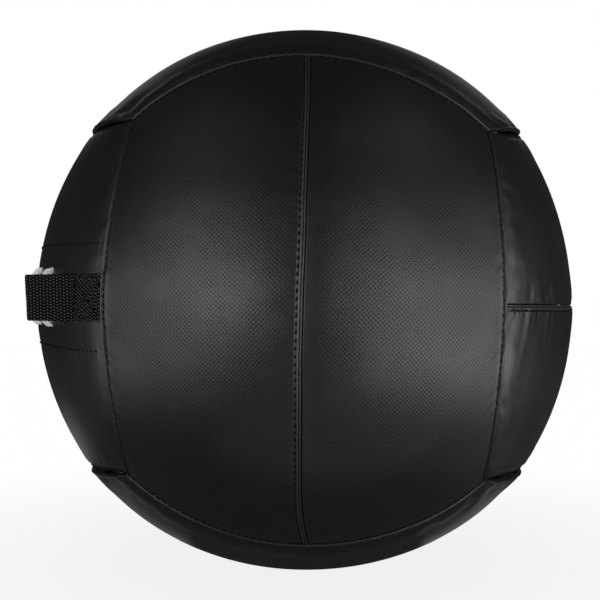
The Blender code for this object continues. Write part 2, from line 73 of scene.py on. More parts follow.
STRAP_THICKNESS = 0.0015
STRAP_RISE = 0.0018

# Derived places and sizes
CENTRE = np.array([0, 0, math.sqrt(BALL_RADIUS**2 - FLAT_RADIUS**2)])
UP = np.array([0, 0, 1.0])
CORD_RADIUS = CORD_DIAMETER / 2
LONG_SEAM_BOW = LONG_SEAM_SHARE - CORNER_SHARE
PANEL_HALF_LENGTH_SHARE = math.sqrt(1 - LONG_SEAM_SHARE**2)
PANEL_LENGTH = 2 * BALL_RADIUS * math.asin(PANEL_HALF_LENGTH_SHARE)
PANEL_WIDTH = BALL_RADIUS * math.asin(LONG_SEAM_SHARE)
FIRST_LACE_ANGLE = -LACE_PITCH_ANGLE * (LACE_PAIRS - 1) / 2
LACE_ANGLES = [FIRST_LACE_ANGLE + LACE_PITCH_ANGLE * pair for pair in range(LACE_PAIRS)]

# Stitching: the pitch, length and thread radius of each kind
STITCH_PITCH = 0.0043
SEAM_THREAD = (STITCH_PITCH, 0.0025, 0.00038)
PATCH_STITCH_PITCH = 0.0042
PATCH_THREAD = (PATCH_STITCH_PITCH, 0.0024, 0.00042)
STRAP_THREAD = (0.0034, 0.0026, 0.00036)
CENTRE_STITCH_INSET = 0.0033
HEM_STITCH_INSET = 0.0022
BAND_STITCH_INSET = 0.0024
EDGE_STITCH_INSET = 0.0012

# Each face: its outward, centre seam and cross directions, the names of its two halves, and the
# kinds of seam at its long sides and at its short ends
FACES = {
    "front": ((0, -1, 0), (0, 0, 1), (1, 0, 0), ("left", "right"), ("hem", "sunk")),
    "back": ((0, 1, 0), (0, 0, 1), (1, 0, 0), ("left", "right"), ("hem", "sunk")),
    "left": ((-1, 0, 0), (0, 1, 0), (0, 0, 1), ("lower", "upper"), ("band", "under")),
    "right": ((1, 0, 0), (0, 1, 0), (0, 0, 1), ("lower", "upper"), ("band", "under")),
    "top": ((0, 0, 1), (1, 0, 0), (0, 1, 0), ("front", "back"), ("raised", "flap")),
    "bottom": ((0, 0, -1), (1, 0, 0), (0, 1, 0), ("front", "back"), ("raised", "flap")),
}


def unit(vectors):
    """The vectors at length one."""
    return vectors / np.linalg.norm(vectors, axis=-1, keepdims=True)


def long_seam(along):
    """Distance of a long seam from its face's middle plane, in radii."""
    return LONG_SEAM_SHARE - LONG_SEAM_BOW * (along / CORNER_SHARE) ** 2


def face_directions(face, along, across):
    """Unit directions with the given parts along and across a face's centre seam."""
    outward, seam, cross = (np.array(axis, float) for axis in FACES[face][:3])
    rise = np.sqrt(1 - along**2 - across**2)
    return rise[..., None] * outward + along[..., None] * seam + across[..., None] * cross


def smooth_step(x, low, high):
    """Rises smoothly from 0 at low to 1 at high."""
    t = np.clip((x - low) / (high - low), 0, 1)
    return t * t * (3 - 2 * t)


def bump(distance, place, width, height):
    """A soft ridge, or a groove where the height is below zero, at a distance from a seam."""
    return height * np.exp(-(((distance - place) / width) ** 2))


def ripple(along, shortest, longest, seed):
    """An uneven wave of height about one, made of a few waves between two lengths."""
    draw = np.random.RandomState(seed)
    lengths = np.geomspace(shortest, longest, 7)
    phases = draw.uniform(0, 2 * math.pi, len(lengths))
    weights = draw.uniform(0.5, 1.0, len(lengths))
    waves = [w * np.sin(2 * math.pi * along / l + p) for l, p, w in zip(lengths, phases, weights)]
    return sum(waves) / math.sqrt(len(lengths) / 2)


def near_share(directions, middle, reach):
    """How near unit directions are to a middle one: 1 there, falling off over a reach in radians."""
    away = np.arccos(np.clip(directions @ unit(np.array(middle, float)), -1, 1))
    return np.exp(-((away / reach) ** 2))


# Where the sewn seams stray from an even pattern: direction, and shifts along X and Z
WANDER = (
    ((-0.58, -0.58, 0.58), 0.0008, 0.0031),
    ((0.58, -0.58, 0.58), 0.0048, -0.0014),
    ((-0.58, -0.58, -0.58), -0.0004, 0.0008),
    ((0.58, -0.58, -0.58), 0.0082, -0.0072),
    ((-0.61, -0.79, 0.0), -0.0049, 0.0),
    ((0.61, -0.79, 0.0), 0.0028, 0.0),
    ((0.0, -0.61, 0.79), 0.0, 0.0042),
    ((0.0, -0.61, -0.79), 0.0, -0.0018),
    ((0.33, -0.66, 0.68), 0.0, -0.0022),
    ((-0.33, -0.66, 0.68), 0.0, 0.0025),
    ((0.33, -0.66, -0.68), 0.0, -0.0022),
    ((-0.33, -0.66, -0.68), 0.0, 0.0014),
    ((-0.63, -0.68, 0.34), -0.0003, 0.0),
    ((0.63, -0.68, 0.34), 0.0011, 0.0),
    ((-0.63, -0.68, -0.34), -0.0021, 0.0),
    ((0.63, -0.68, -0.34), -0.0016, 0.0),
    ((-0.94, -0.34, 0.0), 0.0, 0.0033),
    ((-0.94, 0.20, 0.0), 0.0, 0.0010),
)
WANDER_REACH = 0.33


def wander(directions):
    """Unit directions moved the way that the sewn seams stray."""
    moved = directions.copy()
    for middle, right, up in WANDER:
        share = near_share(directions, middle, WANDER_REACH)
        moved += share[..., None] * np.array((right, 0, up)) / BALL_RADIUS
    return unit(moved)


def wandered(points):
    """Points moved the way that the sewn seams stray, at the same distance from the centre."""
    out = points - CENTRE
    distance = np.linalg.norm(out, axis=-1, keepdims=True)
    return CENTRE + wander(out / distance) * distance


# How far a face's centre seam drifts sideways, by place from -1 to 1 along it
DRIFT = {
    "front": (
        (-1.0, -0.92, -0.8, -0.56, -0.21, -0.07, 0.08, 0.22, 0.41, 0.6, 0.78, 1.0),
        (-0.8, -3.3, -5.0, -4.8, -4.5, -4.0, -3.4, -2.5, -2.0, -1.1, -0.2, 0.0),
    ),
    "right": ((-1.0, -0.6, -0.2, 1.0), (-4.2, -5.0, -5.8, -4.0)),
    "left": ((-1.0, 1.0), (0.0, 0.0)),
}
DRIFT_UNIT = 0.001
OTHER_DRIFT = 0.0012
DRIFT_SMOOTHING = 0.06


def seam_drift(face, place):
    """Sideways drift of a face's centre seam, as sewn, at a place from -1 to 1 along it."""
    if face in DRIFT:
        spread = np.linspace(-DRIFT_SMOOTHING, DRIFT_SMOOTHING, 7)
        return DRIFT_UNIT * np.mean([np.interp(place + s, *DRIFT[face]) for s in spread], 0)
    phase = 2.1 * sorted(FACES).index(face)
    return OTHER_DRIFT * np.sin(2.6 * place + phase) * (1 - place**4)


# Low swells and hollows of the stuffed ball: direction, height and reach in radians
SWELLS = (
    ((-0.55, -0.2, 0.75), 0.0016, 0.45),
    ((0.62, -0.1, 0.72), 0.0024, 0.40),
    ((-0.60, -0.1, -0.70), 0.0018, 0.40),
    ((0.66, -0.1, -0.70), 0.0036, 0.42),
    ((1.0, 0.0, 0.16), -0.0034, 0.36),
    ((0.0, 0.0, 1.0), 0.0012, 0.50),
    ((0.3, 1.0, 0.2), 0.0012, 0.60),
)
FLOOR_BLEND = 0.0007
FLOOR_DROP = FLOOR_BLEND**2 / 0.0033
SETTLED_HEIGHT = 0.02


def swell(directions):
    """Height of the low swells at unit directions."""
    return sum(rise * near_share(directions, middle, reach) for middle, rise, reach in SWELLS)


def settle(points, depth):
    """Flattens the cover softly where it rests on the floor."""
    level = points[..., 2]
    soft = (level + np.sqrt(level**2 + 4 * FLOOR_BLEND**2)) / 2 - FLOOR_DROP
    points[..., 2] = np.where(level < SETTLED_HEIGHT, np.maximum(soft, depth), level)
    return points


# The two sides of each kind of seam, as ridges and grooves: place, width, height, and how the
# height changes along the seam. It grows by a share between the stitches, shows only between
# them, or follows the uneven lip of a folded edge or the opposite of it.
RIDGES = {
    "lap": (
        (0, 0.00022, -0.0007, 0),
        (0.0006, 0.0005, 0.00045, "lip"),
        (0.0013, 0.00026, -0.00040, 0),
        (0.0021, 0.0006, 0.00042, "opposite"),
        (CENTRE_STITCH_INSET, 0.00045, -0.00045, -0.4),
        (0.0052, 0.0016, 0.00014, "between"),
    ),
    "tuck": ((0, 0.00030, -0.0006, 0), (0, 0.0045, -0.00015, 0)),
    "sunk": ((0, 0.00065, -0.0010, -0.2), (0, 0.0030, -0.00035, 0), (0.0024, 0.0012, 0.00008, "between")),
    "hem": (
        (0, 0.00020, -0.0004, 0),
        (0.0008, 0.00065, 0.00080, "lip"),
        (HEM_STITCH_INSET, 0.00038, -0.00062, 0.5),
        (0.0036, 0.0010, 0.00010, 0),
    ),
    "under": ((0, 0.0004, -0.0005, 0), (0, 0.0045, -0.0003, 0)),
    "raised": ((0, 0.00035, -0.0009, 0), (0.0008, 0.0006, 0.00040, 0), (0.0028, 0.0012, 0.00006, "between")),
    "slit": ((0, 0.0005, -0.0010, 0), (0.0014, 0.0011, 0.00025, 0), (0.0042, 0.0005, -0.00020, 0)),
}
# The uneven lips: share of their height, shortest and longest wave, and seed
LIPS = {"lap": (0.22, 0.005, 0.030, 3), "hem": (0.2, 0.006, 0.030, 4)}

# The sides of a welted seam, each built on a plain one: low and drawn into folds, or standing up
WELTED = {"band": "sunk", "flap": "raised"}
BAND_WIDTH = 0.0046
BAND_RIM = 0.0022
BAND_DEPTH = 0.00075
BAND_RIPPLE_PITCH = 0.0023
BAND_RIPPLE_SLANT = 0.35
BAND_RIPPLE_HEIGHT = 0.00028
FLAP_HEIGHT = 0.0021
FLAP_REACH = 0.006
WELT_FADE = (0.003, 0.016)


def plain_side(kind, distance, along):
    """Height of a plain seam's side, at a distance from the seam."""
    between = np.cos(2 * math.pi * along / STITCH_PITCH)
    uneven, *wave = LIPS.get(kind, (0, 1, 1, 0))
    lip = 1 + uneven * ripple(along, *wave)
    changes = {"lip": lip, "opposite": 2 - lip, "between": between}
    height = 0
    for place, width, rise, change in RIDGES[kind]:
        factor = changes[change] if change in changes else 1 + change * between
        height = height + bump(distance, place, width, rise) * factor
    return height


def seam_side(kind, distance, along, from_corner):
    """Height of a seam's side. A welt fades into a plain seam towards the corners."""
    plain = plain_side(WELTED.get(kind, kind), distance, along)
    if kind == "band":
        low = 1 - smooth_step(distance, BAND_WIDTH, BAND_WIDTH + BAND_RIM)
        wave = np.cos(2 * math.pi * (along + BAND_RIPPLE_SLANT * distance) / BAND_RIPPLE_PITCH)
        welted = plain - BAND_DEPTH * low + BAND_RIPPLE_HEIGHT * low * wave
    elif kind == "flap":
        welted = plain + FLAP_HEIGHT * np.exp(-distance / FLAP_REACH)
    else:
        return plain
    return plain + smooth_step(from_corner, *WELT_FADE) * (welted - plain)


# Puckers beside the seams: how high and how far they reach on each half of a face, at most seams
# and where they differ
PUCKERS = ((0.00016, 0.0080), (0.00016, 0.0080))
OTHER_PUCKERS = {
    ("front", "centre"): ((0.00005, 0.007), (0.00003, 0.007)),
    ("front", "long"): ((0.00013, 0.008), (0.00009, 0.008)),
    ("right", "centre"): ((0.00046, 0.013), (0.00010, 0.012)),
    ("right", "long"): ((0.00014, 0.010), (0.00014, 0.010)),
    ("left", "centre"): ((0, 0.008), (0, 0.008)),
    ("left", "long"): ((0.00012, 0.010), (0.00012, 0.010)),
}
PUCKER_WAVES = (0.0060, 0.030)
PUCKER_START = (0.0004, 0.0030)
DEEPEST = -0.0021

# The stitch lines of the lace patches, from the middle of the laced opening, and the groove and
# the ridges that the stitches draw in the cover: place, width and height
PATCH_LINE_OFFSETS = (0.0290, 0.0315)
PATCH_LINE_END_GAP = 0.0010
PATCH_GROOVE = (0, 0.0006, -0.00022)
PATCH_RIDGES = (0.0014, 0.0007, 0.00010)

# The hem's rise over the strap's end: how high, how far it reaches, and where it fades beside it
STRAP_SWELL = 0.0009
STRAP_SWELL_REACH = 0.005
STRAP_SWELL_EDGES = (STRAP_WIDTH / 2 - 0.001, STRAP_WIDTH / 2 + STRAP_SWELL_REACH)

# The crests of folded edges, which get a painted highlight: place, width and how strong the highlight is,
# and where the hem's highlight fades out
LAP_CRESTS = ((0.0006, 0.0004, 0.8), (0.0021, 0.0005, 0.8))
HEM_CREST = (0.0008, 0.0006, 1.0)
HEM_CREST_FADE = (0.045, 0.095)

# The panels' grids: steps close to the edges and away from them. The inner grid of a cloth keeps
# one line in so many of the outer one.
FINE_STEP = 0.00028
FINE_REACH = 0.0048
STEP_GROWTH = 1.3
ROW_STEP = 0.0026
COLUMN_STEP = 0.00145
INNER_STRIDE = 8


def graded(length, coarse):
    """Places from 0 to 1 along a length, close together near both of its ends."""
    half = [0.0]
    step = FINE_STEP
    while half[-1] + step < length / 2:
        half.append(half[-1] + step)
        if half[-1] > FINE_REACH:
            step = min(coarse, step * STEP_GROWTH)
    half = np.array(half) / length
    return np.concatenate([half, [0.5], 1 - half[::-1]])


def running_length(points, axis=0):
    """Length along a path, or along a grid's rows or columns, from the first point."""
    steps = np.linalg.norm(np.diff(points, axis=axis), axis=-1)
    lengths = np.cumsum(steps, axis=axis)
    start = np.zeros_like(np.take(lengths, [0], axis=axis))
    return np.concatenate([start, lengths], axis=axis)


def read_line(distance, values, place):
    """Values between the points of one grid line, at a distance along it."""
    after = int(np.clip(np.searchsorted(distance, place), 1, len(distance) - 1))
    share = (place - distance[after - 1]) / (distance[after] - distance[after - 1])
    return values[after - 1] * (1 - share) + values[after] * share


def read_lines(distances, points, directions, place):
    """Points and directions of a grid at a distance along each of its lines."""
    path = [read_line(*line, place) for line in zip(distances, points)]
    outward = [read_line(*line, place) for line in zip(distances, directions)]
    return np.array(path), unit(np.array(outward))


class Panel:
    """One cover panel as a grid of points: rows from its centre seam out, columns end to end."""

    def __init__(self, face, side):
        halves, (self.long_kind, self.end_kind) = FACES[face][3:]
        self.face = face
        self.side = side
        self.sign = (-1, 1)[side]
        self.name = f"{face}_{halves[side]}_panel"
        self.centre_kind = "slit" if face == "left" else ("lap", "tuck")[side]
        self.places = 2 * graded(PANEL_LENGTH, COLUMN_STEP) - 1
        self.shares = graded(PANEL_WIDTH, ROW_STEP)
        self.pressed = np.zeros((2, 2))
        self.directions, self.offsets = self.grid_directions(self.places, self.shares)
        self.along = running_length(self.directions * BALL_RADIUS, 1)
        self.across = running_length(self.directions * BALL_RADIUS, 0)
        self.from_long = self.across[-1:] - self.across
        self.from_ends = np.minimum(self.along, self.along[:, -1:] - self.along)
        self.from_middle = self.along - self.along[:, [len(self.places) // 2]]

    def centre_edge(self, place):
        """Where the panel's edge at the centre seam lies, in radii from the middle plane."""
        drift = self.sign * seam_drift(self.face, place)
        if self.centre_kind == "slit":
            angle = np.arcsin(np.clip(abs(place) * PANEL_HALF_LENGTH_SHARE, 0, 1))
            open_share = 1 - smooth_step(angle, *SLIT_CLOSING)
            offset = SEAM_GAP + (SLIT_HALF_WIDTH - SEAM_GAP) * open_share
        else:
            offset = -LAP_HALF_WIDTH if self.centre_kind == "lap" else LAP_HALF_WIDTH + SEAM_GAP
        return (offset + drift) / BALL_RADIUS

    def grid_directions(self, places, shares):
        """Directions of a grid of places along the panel and shares of its width, and offsets."""
        place, share = np.meshgrid(places, shares)
        even_place = np.sin(place * math.pi / 4) / math.sin(math.pi / 4)
        even_share = np.sin(share * math.pi / 5) / math.sin(math.pi / 5)
        gap = SEAM_GAP / BALL_RADIUS
        edge = self.centre_edge(even_place)
        across = edge + even_share * (long_seam(even_place * CORNER_SHARE) - gap - edge)
        own_edge = self.centre_edge(np.ones(1))[0]
        end_across = own_edge + even_share * (CORNER_SHARE - own_edge)
        end_along = np.sqrt(1 - end_across**2 - long_seam(end_across) ** 2)
        along = even_place * (end_along - gap)
        return wander(face_directions(self.face, along, self.sign * across)), across * BALL_RADIUS

    def puckers(self):
        """Small folds that run out from the stitching, more on some seams than on others."""
        seed = 7 * sorted(FACES).index(self.face) + self.side
        edges = (
            ("centre", self.across, self.along),
            ("long", self.from_long, self.along),
            ("ends", self.from_ends, self.across),
        )
        total = 0
        for number, (edge, distance, run) in enumerate(edges):
            height, reach = OTHER_PUCKERS.get((self.face, edge), PUCKERS)[self.side]
            wave = ripple(run + 0.2 * distance, *PUCKER_WAVES, 11 * seed + number)
            fade = np.exp(-distance / reach) * smooth_step(distance, *PUCKER_START)
            total = total + height * wave * fade
        return total

    def raise_surface(self):
        """Heights over the round ball, and the points of the outer surface."""
        height = seam_side(self.centre_kind, self.across, self.from_middle, self.from_ends)
        height = height + seam_side(self.long_kind, self.from_long, self.from_middle, self.from_ends)
        height = height + seam_side(self.end_kind, self.from_ends, self.across, self.from_long)
        height = height + self.puckers() + self.strap_swell() + self.patch_groove()
        weights_out = spline_weights(self.shares, self.pressed.shape[0])
        weights_along = spline_weights((self.places + 1) / 2, self.pressed.shape[1])
        height = np.maximum(height + weights_out @ self.pressed @ weights_along.T, DEEPEST)
        radius = BALL_RADIUS + swell(self.directions) + height
        self.points = settle(CENTRE + self.directions * radius[..., None], -height)

    def folds(self):
        """How much painted highlight each place gets as the crest of a folded edge, from 0 to 1."""
        share = np.zeros_like(self.along)
        if self.centre_kind == "lap":
            share += sum(bump(self.across, *crest) for crest in LAP_CRESTS)
        if self.long_kind == "hem":
            middle = 1 - 0.8 * smooth_step(np.abs(self.from_middle), *HEM_CREST_FADE)
            share += bump(self.from_long, *HEM_CREST) * middle
        return np.clip(share, 0, 1)

    def strap_swell(self):
        """The hem rises where the strap's end goes under it."""
        if self.name != "front_left_panel":
            return 0.0
        beside = np.abs(self.directions[..., 2] * BALL_RADIUS - STRAP_RISE)
        width = 1 - smooth_step(beside, *STRAP_SWELL_EDGES)
        return STRAP_SWELL * width * np.exp(-((self.from_long / STRAP_SWELL_REACH) ** 2))

    def patch_groove(self):
        """The cover drawn down along the stitches that hold the lace patches."""
        if self.face != "left":
            return 0.0
        between = np.cos(2 * math.pi * self.from_middle / PATCH_STITCH_PITCH)
        beside = self.offsets - PATCH_LINE_OFFSETS[self.side]
        return bump(beside, *PATCH_GROOVE) + bump(np.abs(beside), *PATCH_RIDGES) * between

    def inset_path(self, edge, inset):
        """Points and directions on the surface at a distance from one edge of the panel."""
        if edge in ("centre", "long"):
            grids = (self.across, self.points, self.directions)
            distances, *others = (grid.swapaxes(0, 1) for grid in grids)
        else:
            distances, *others = (self.along, self.points, self.directions)
        if edge in ("long", "end"):
            distances = (distances[:, -1:] - distances)[:, ::-1]
            others = [grid[:, ::-1] for grid in others]
        return read_lines(distances, *others, inset)

    def offset_path(self, offset):
        """Points and directions on the surface at a distance from the face's middle plane."""
        grids = (self.from_ends, self.offsets, self.points, self.directions)
        ends, *others = (grid.swapaxes(0, 1) for grid in grids)
        clear = [read_line(*line, offset) > PATCH_LINE_END_GAP for line in zip(others[0], ends)]
        return read_lines(*(grid[clear] for grid in others), offset)


def linked(name, data):
    """A new object in the scene."""
    piece = bpy.data.objects.new(name, data)
    bpy.context.scene.collection.objects.link(piece)
    return piece


def mesh_object(name, points, faces):
    """A smooth mesh object from points and faces."""
    mesh = bpy.data.meshes.new(name)
    mesh.from_pydata([tuple(point) for point in points], [], faces)
    mesh.shade_smooth()
    return linked(name, mesh)


def bake(piece):
    """Puts the mesh that a piece's modifiers make in the place of its own."""
    graph = bpy.context.evaluated_depsgraph_get()
    done = bpy.data.meshes.new_from_object(piece.evaluated_get(graph))
    piece.modifiers.clear()
    piece.data = done


def grid_faces(rows, columns, first=0, closed=False):
    """Quads over a grid of points whose first one has the given number."""
    faces = []
    for r in range(rows - 1):
        for c in range(columns if closed else columns - 1):
            a = first + r * columns + c
            b = first + r * columns + (c + 1) % columns
            faces.append((a, b, b + columns, a + columns))
    return faces


def spline_weights(places, count):
    """Weights that read a smooth curve through evenly spaced values, at places from 0 to 1."""
    t = np.clip(places, 0, 1) * (count - 1)
    start = np.clip(np.floor(t).astype(int), 0, count - 2)
    u = t - start
    parts = ((1 - u) ** 3, 3 * u**3 - 6 * u**2 + 4, -3 * u**3 + 3 * u**2 + 3 * u + 1, u**3)
    weights = np.zeros((len(t), count))
    for shift, part in enumerate(parts):
        column = np.clip(start + shift - 1, 0, count - 1)
        np.add.at(weights, (np.arange(len(t)), column), part / 6)
    return weights


# The cover pressed out by its filling, as a cloth simulation
PRESS_ROWS = 30
PRESS_COLUMNS = 88
PRESS_FRAMES = 20
PRESS_LIMIT = 0.0013
PRESS_SEAM_REACH = 0.020
PRESS_SHARES = {"front": 0.22, "left": 0.35, "right": 0.60}
CLOTH_SETTINGS = {
    "quality": 6,
    "mass": 0.25,
    "tension_stiffness": 25,
    "compression_stiffness": 25,
    "shear_stiffness": 12,
    "bending_stiffness": 0.6,
    "use_pressure": True,
    "uniform_pressure_force": 4.0,
    "vertex_group_mass": "sewn",
    "vertex_group_shrink": "spread",
    "shrink_min": -0.030,
    "shrink_max": -0.004,
}


def pressed_cloth(panel):
    """A coarse cloth in a panel's place, sewn at its edges, slack at its seams and pressed out."""
    places = np.linspace(-1, 1, PRESS_COLUMNS)
    directions, _ = panel.grid_directions(places, np.linspace(0, 1, PRESS_ROWS))
    points = (CENTRE + directions * BALL_RADIUS).reshape(-1, 3)
    faces = grid_faces(PRESS_ROWS, PRESS_COLUMNS)
    a, b, c = (points[number] for number in faces[len(faces) // 2][:3])
    if np.cross(b - a, c - b) @ (a - CENTRE) < 0:
        faces = [face[::-1] for face in faces]
    piece = mesh_object("pressed_" + panel.name, points, faces)
    row, column = np.mgrid[0:PRESS_ROWS, 0:PRESS_COLUMNS]
    inward = np.minimum(row, PRESS_ROWS - 1 - row) * PANEL_WIDTH / PRESS_ROWS
    along = np.minimum(column, PRESS_COLUMNS - 1 - column) * PANEL_LENGTH / PRESS_COLUMNS
    from_seam = np.minimum(inward, along).ravel()
    sewn = piece.vertex_groups.new(name="sewn")
    sewn.add(np.flatnonzero(from_seam == 0).tolist(), 1.0, "REPLACE")
    spread = piece.vertex_groups.new(name="spread")
    for number, share in enumerate(smooth_step(from_seam, 0, PRESS_SEAM_REACH)):
        spread.add([number], float(share), "REPLACE")
    cloth = piece.modifiers.new("cloth", "CLOTH")
    for key, value in CLOTH_SETTINGS.items():
        setattr(cloth.settings, key, value)
    cloth.settings.effector_weights.gravity = 0
    cloth.point_cache.frame_start = 1
    cloth.point_cache.frame_end = PRESS_FRAMES
    return piece


def press_cover(panels):
    """Presses every panel out against its seams and keeps how far each place moves."""
    scene = bpy.context.scene
    cloths = [pressed_cloth(panel) for panel in panels]
    for number in range(1, PRESS_FRAMES + 1):
        scene.frame_set(number)
    graph = bpy.context.evaluated_depsgraph_get()
    for panel, piece in zip(panels, cloths):
        moved = np.zeros(3 * PRESS_ROWS * PRESS_COLUMNS, np.float32)
        piece.evaluated_get(graph).data.vertices.foreach_get("co", moved)
        rise = np.linalg.norm(moved.reshape(-1, 3) - CENTRE, axis=1) - BALL_RADIUS
        rise = np.clip(rise, -PRESS_LIMIT, PRESS_LIMIT) * PRESS_SHARES.get(panel.face, 1.0)
        panel.pressed = rise.reshape(PRESS_ROWS, PRESS_COLUMNS)
        mesh = piece.data
        bpy.data.objects.remove(piece)
        bpy.data.meshes.remove(mesh)
    scene.frame_set(1)


def rim(fine, kept, coarse):
    """Faces between a fine edge and the coarse one that keeps some of its places."""
    spans = zip(kept, kept[1:], coarse, coarse[1:])
    return [(*fine[start : stop + 1], after, before) for start, stop, before, after in spans]


def shell(name, outer, directions):
    """A closed cloth: a fine outer grid, a coarser inner one and a rim between them."""
    rows, columns = outer.shape[:2]
    kept_rows, kept_columns = (sorted({*range(0, n, INNER_STRIDE), n - 1}) for n in (rows, columns))
    inner = (outer - directions * COVER_THICKNESS)[np.ix_(kept_rows, kept_columns)]
    first = rows * columns
    faces = grid_faces(rows, columns)
    faces += [face[::-1] for face in grid_faces(*inner.shape[:2], first)]
    fine = np.arange(first).reshape(rows, columns)
    coarse = first + np.arange(inner.size // 3).reshape(inner.shape[:2])
    for edge in (0, -1):
        faces += rim(fine[edge].tolist(), kept_columns, coarse[edge].tolist())
    for edge in (0, -1):
        faces += rim(fine[:, edge].tolist(), kept_rows, coarse[:, edge].tolist())
    piece = mesh_object(name, np.concatenate([outer.reshape(-1, 3), inner.reshape(-1, 3)]), faces)
    turn_out(piece)
    return piece


def turn_out(piece):
    """Turns the faces of a closed mesh outwards and marks its sharp edges."""
    bm = bmesh.new()
    bm.from_mesh(piece.data)
    bmesh.ops.recalc_face_normals(bm, faces=bm.faces)
    bm.to_mesh(piece.data)
    bm.free()
    piece.data.set_sharp_from_angle(angle=SHARP_ANGLE)


def joined(name, parts):
    """One mesh object from several lists of points and faces."""
    points, faces = [], []
    for part_points, part_faces in parts:
        first = len(points)
        points += [tuple(point) for point in part_points]
        faces += [tuple(number + first for number in face) for face in part_faces]
    return mesh_object(name, points, faces)


def tube(path, radii, sides, outward):
    """Points and faces of a round tube along a path, with closed ends."""
    forward = unit(np.gradient(path, axis=0))
    side = unit(np.cross(forward, outward))
    up = np.cross(side, forward)
    turns = np.arange(sides) * 2 * math.pi / sides
    ring = np.cos(turns)[None, :, None] * side[:, None] + np.sin(turns)[None, :, None] * up[:, None]
    points = (path[:, None] + ring * np.broadcast_to(radii, len(path))[:, None, None]).reshape(-1, 3)
    faces = grid_faces(len(path), sides, closed=True)
    last = (len(path) - 1) * sides
    faces.append(tuple(range(sides))[::-1])
    faces.append(tuple(range(last, last + sides)))
    return points, faces


def read_path(places, run, values):
    """Values along a path, read at lengths along it."""
    return np.stack([np.interp(places, run, column) for column in values.T], 1)


def resampled(path, spacing):
    """Even lengths along a path, and its points there."""
    run = running_length(path)
    places = np.arange(0, run[-1], spacing)
    return places, read_path(places, run, path)


STITCH_RINGS = 6
STITCH_SIDES = 6
STITCH_SLANT = 0.00022
STITCH_RISE = 0.00042
STITCH_SINK = 0.00045
STITCH_TAPER = 0.25
SHARP_ANGLE = math.radians(55)


def stitches(path, outward, thread=SEAM_THREAD):
    """Threads that rise out of a seam, run along it and go down again, one for each pitch."""
    pitch, length, radius = thread
    run = running_length(path)
    middle = run[-1] / 2
    count = int((middle - length) / pitch)
    share = np.linspace(-1, 1, STITCH_RINGS)
    parts = []
    for number in range(-count, count + 1):
        places = middle + number * pitch + share * length / 2
        points = read_path(places, run, path)
        out = unit(read_path(places, run, outward))
        sideways = unit(np.cross(np.gradient(points, axis=0), out))
        lift = STITCH_RISE * (1 - share**2) - STITCH_SINK * share**4
        points = points + out * lift[:, None] + sideways * (share * STITCH_SLANT)[:, None]
        parts.append(tube(points, radius * (1 - STITCH_TAPER * share**2), STITCH_SIDES, out))
    return parts


def add_uv(piece, name, coordinates):
    """Gives a mesh a UV map from one pair of numbers for each vertex."""
    layer = piece.data.uv_layers.new(name=name)
    corners = np.zeros(len(piece.data.loops), np.int32)
    piece.data.loops.foreach_get("vertex_index", corners)
    layer.data.foreach_set("uv", coordinates[corners].astype(np.float32).ravel())


def add_weights(piece, name, values):
    """Gives a mesh a number for each vertex, for its material to read. The last ones get zero."""
    attribute = piece.data.attributes.new(name, "FLOAT", "POINT")
    padded = np.zeros(len(piece.data.vertices), np.float32)
    padded[: values.size] = values.ravel()
    attribute.data.foreach_set("value", padded)


class Nodes:
    """Short calls for building the node tree of a material or a world."""

    def __init__(self, owner):
        owner.use_nodes = True
        self.owner = owner
        self.tree = owner.node_tree

    def add(self, kind, **settings):
        """A new node, with its own settings."""
        node = self.tree.nodes.new(kind)
        for key, value in settings.items():
            setattr(node, key, value)
        return node

    def feed(self, node, **values):
        """Links sockets into a node's inputs, or sets them. A key is a name, or i and a number."""
        for key, value in values.items():
            numbered = key[0] == "i" and key[1:].isdigit()
            entry = node.inputs[int(key[1:]) if numbered else key.replace("_", " ")]
            if isinstance(value, bpy.types.NodeSocket):
                self.tree.links.new(value, entry)
            else:
                wide = entry.type == "RGBA" and len(value) == 3
                entry.default_value = (*value, 1) if wide else value

    def math(self, operation, first, second=0.0):
        """The output of a maths node."""
        node = self.add("ShaderNodeMath", operation=operation)
        self.feed(node, i0=first, i1=second)
        return node.outputs[0]

    def place(self):
        """The place on the object, in metres."""
        return self.add("ShaderNodeTexCoord").outputs["Object"]

    def attribute(self, name):
        """A number that the mesh carries at each vertex."""
        return self.add("ShaderNodeAttribute", attribute_name=name).outputs["Fac"]

    def noise(self, scale, detail=3.0, distortion=0.0):
        """The value of a noise texture over the object."""
        node = self.add("ShaderNodeTexNoise")
        self.feed(node, Scale=scale, Detail=detail, Distortion=distortion, Vector=self.place())
        return node.outputs["Fac"]

    def ramp(self, value, low, high, from_low=0.0, from_high=1.0):
        """A value brought from one range into another, kept inside it."""
        node = self.add("ShaderNodeMapRange")
        self.feed(node, i0=value, i1=from_low, i2=from_high, i3=low, i4=high)
        return node.outputs[0]

    def mix(self, share, first, second):
        """A colour between two others."""
        node = self.add("ShaderNodeMix", data_type="RGBA")
        self.feed(node, i0=share, i6=first, i7=second)
        return node.outputs[2]

    def bump(self, height, distance):
        """A normal bent by a height, which is scaled by a distance in metres."""
        node = self.add("ShaderNodeBump")
        self.feed(node, Distance=distance, Height=height)
        return node.outputs[0]

    def finish(self, colour, roughness, specular, **others):
        """Sets the shader's main inputs and gives the material back."""
        shader = self.tree.nodes["Principled BSDF"]
        self.feed(shader, Base_Color=colour, Roughness=roughness)
        self.feed(shader, Specular_IOR_Level=specular, **others)
        return self.owner


def material_nodes(name):
    """The node tree of a new material."""
    return Nodes(bpy.data.materials.new(name))


def mottled(name, texture, dark, light, rough, depth, specular=0.5, **others):
    """A finish whose colour, roughness and relief all follow one noise."""
    n = material_nodes(name)
    grain = n.noise(*texture)
    colour = n.mix(grain, dark, light)
    roughness = n.ramp(grain, *rough) if isinstance(rough, tuple) else rough
    return n.finish(colour, roughness, specular, Normal=n.bump(grain, depth), **others)


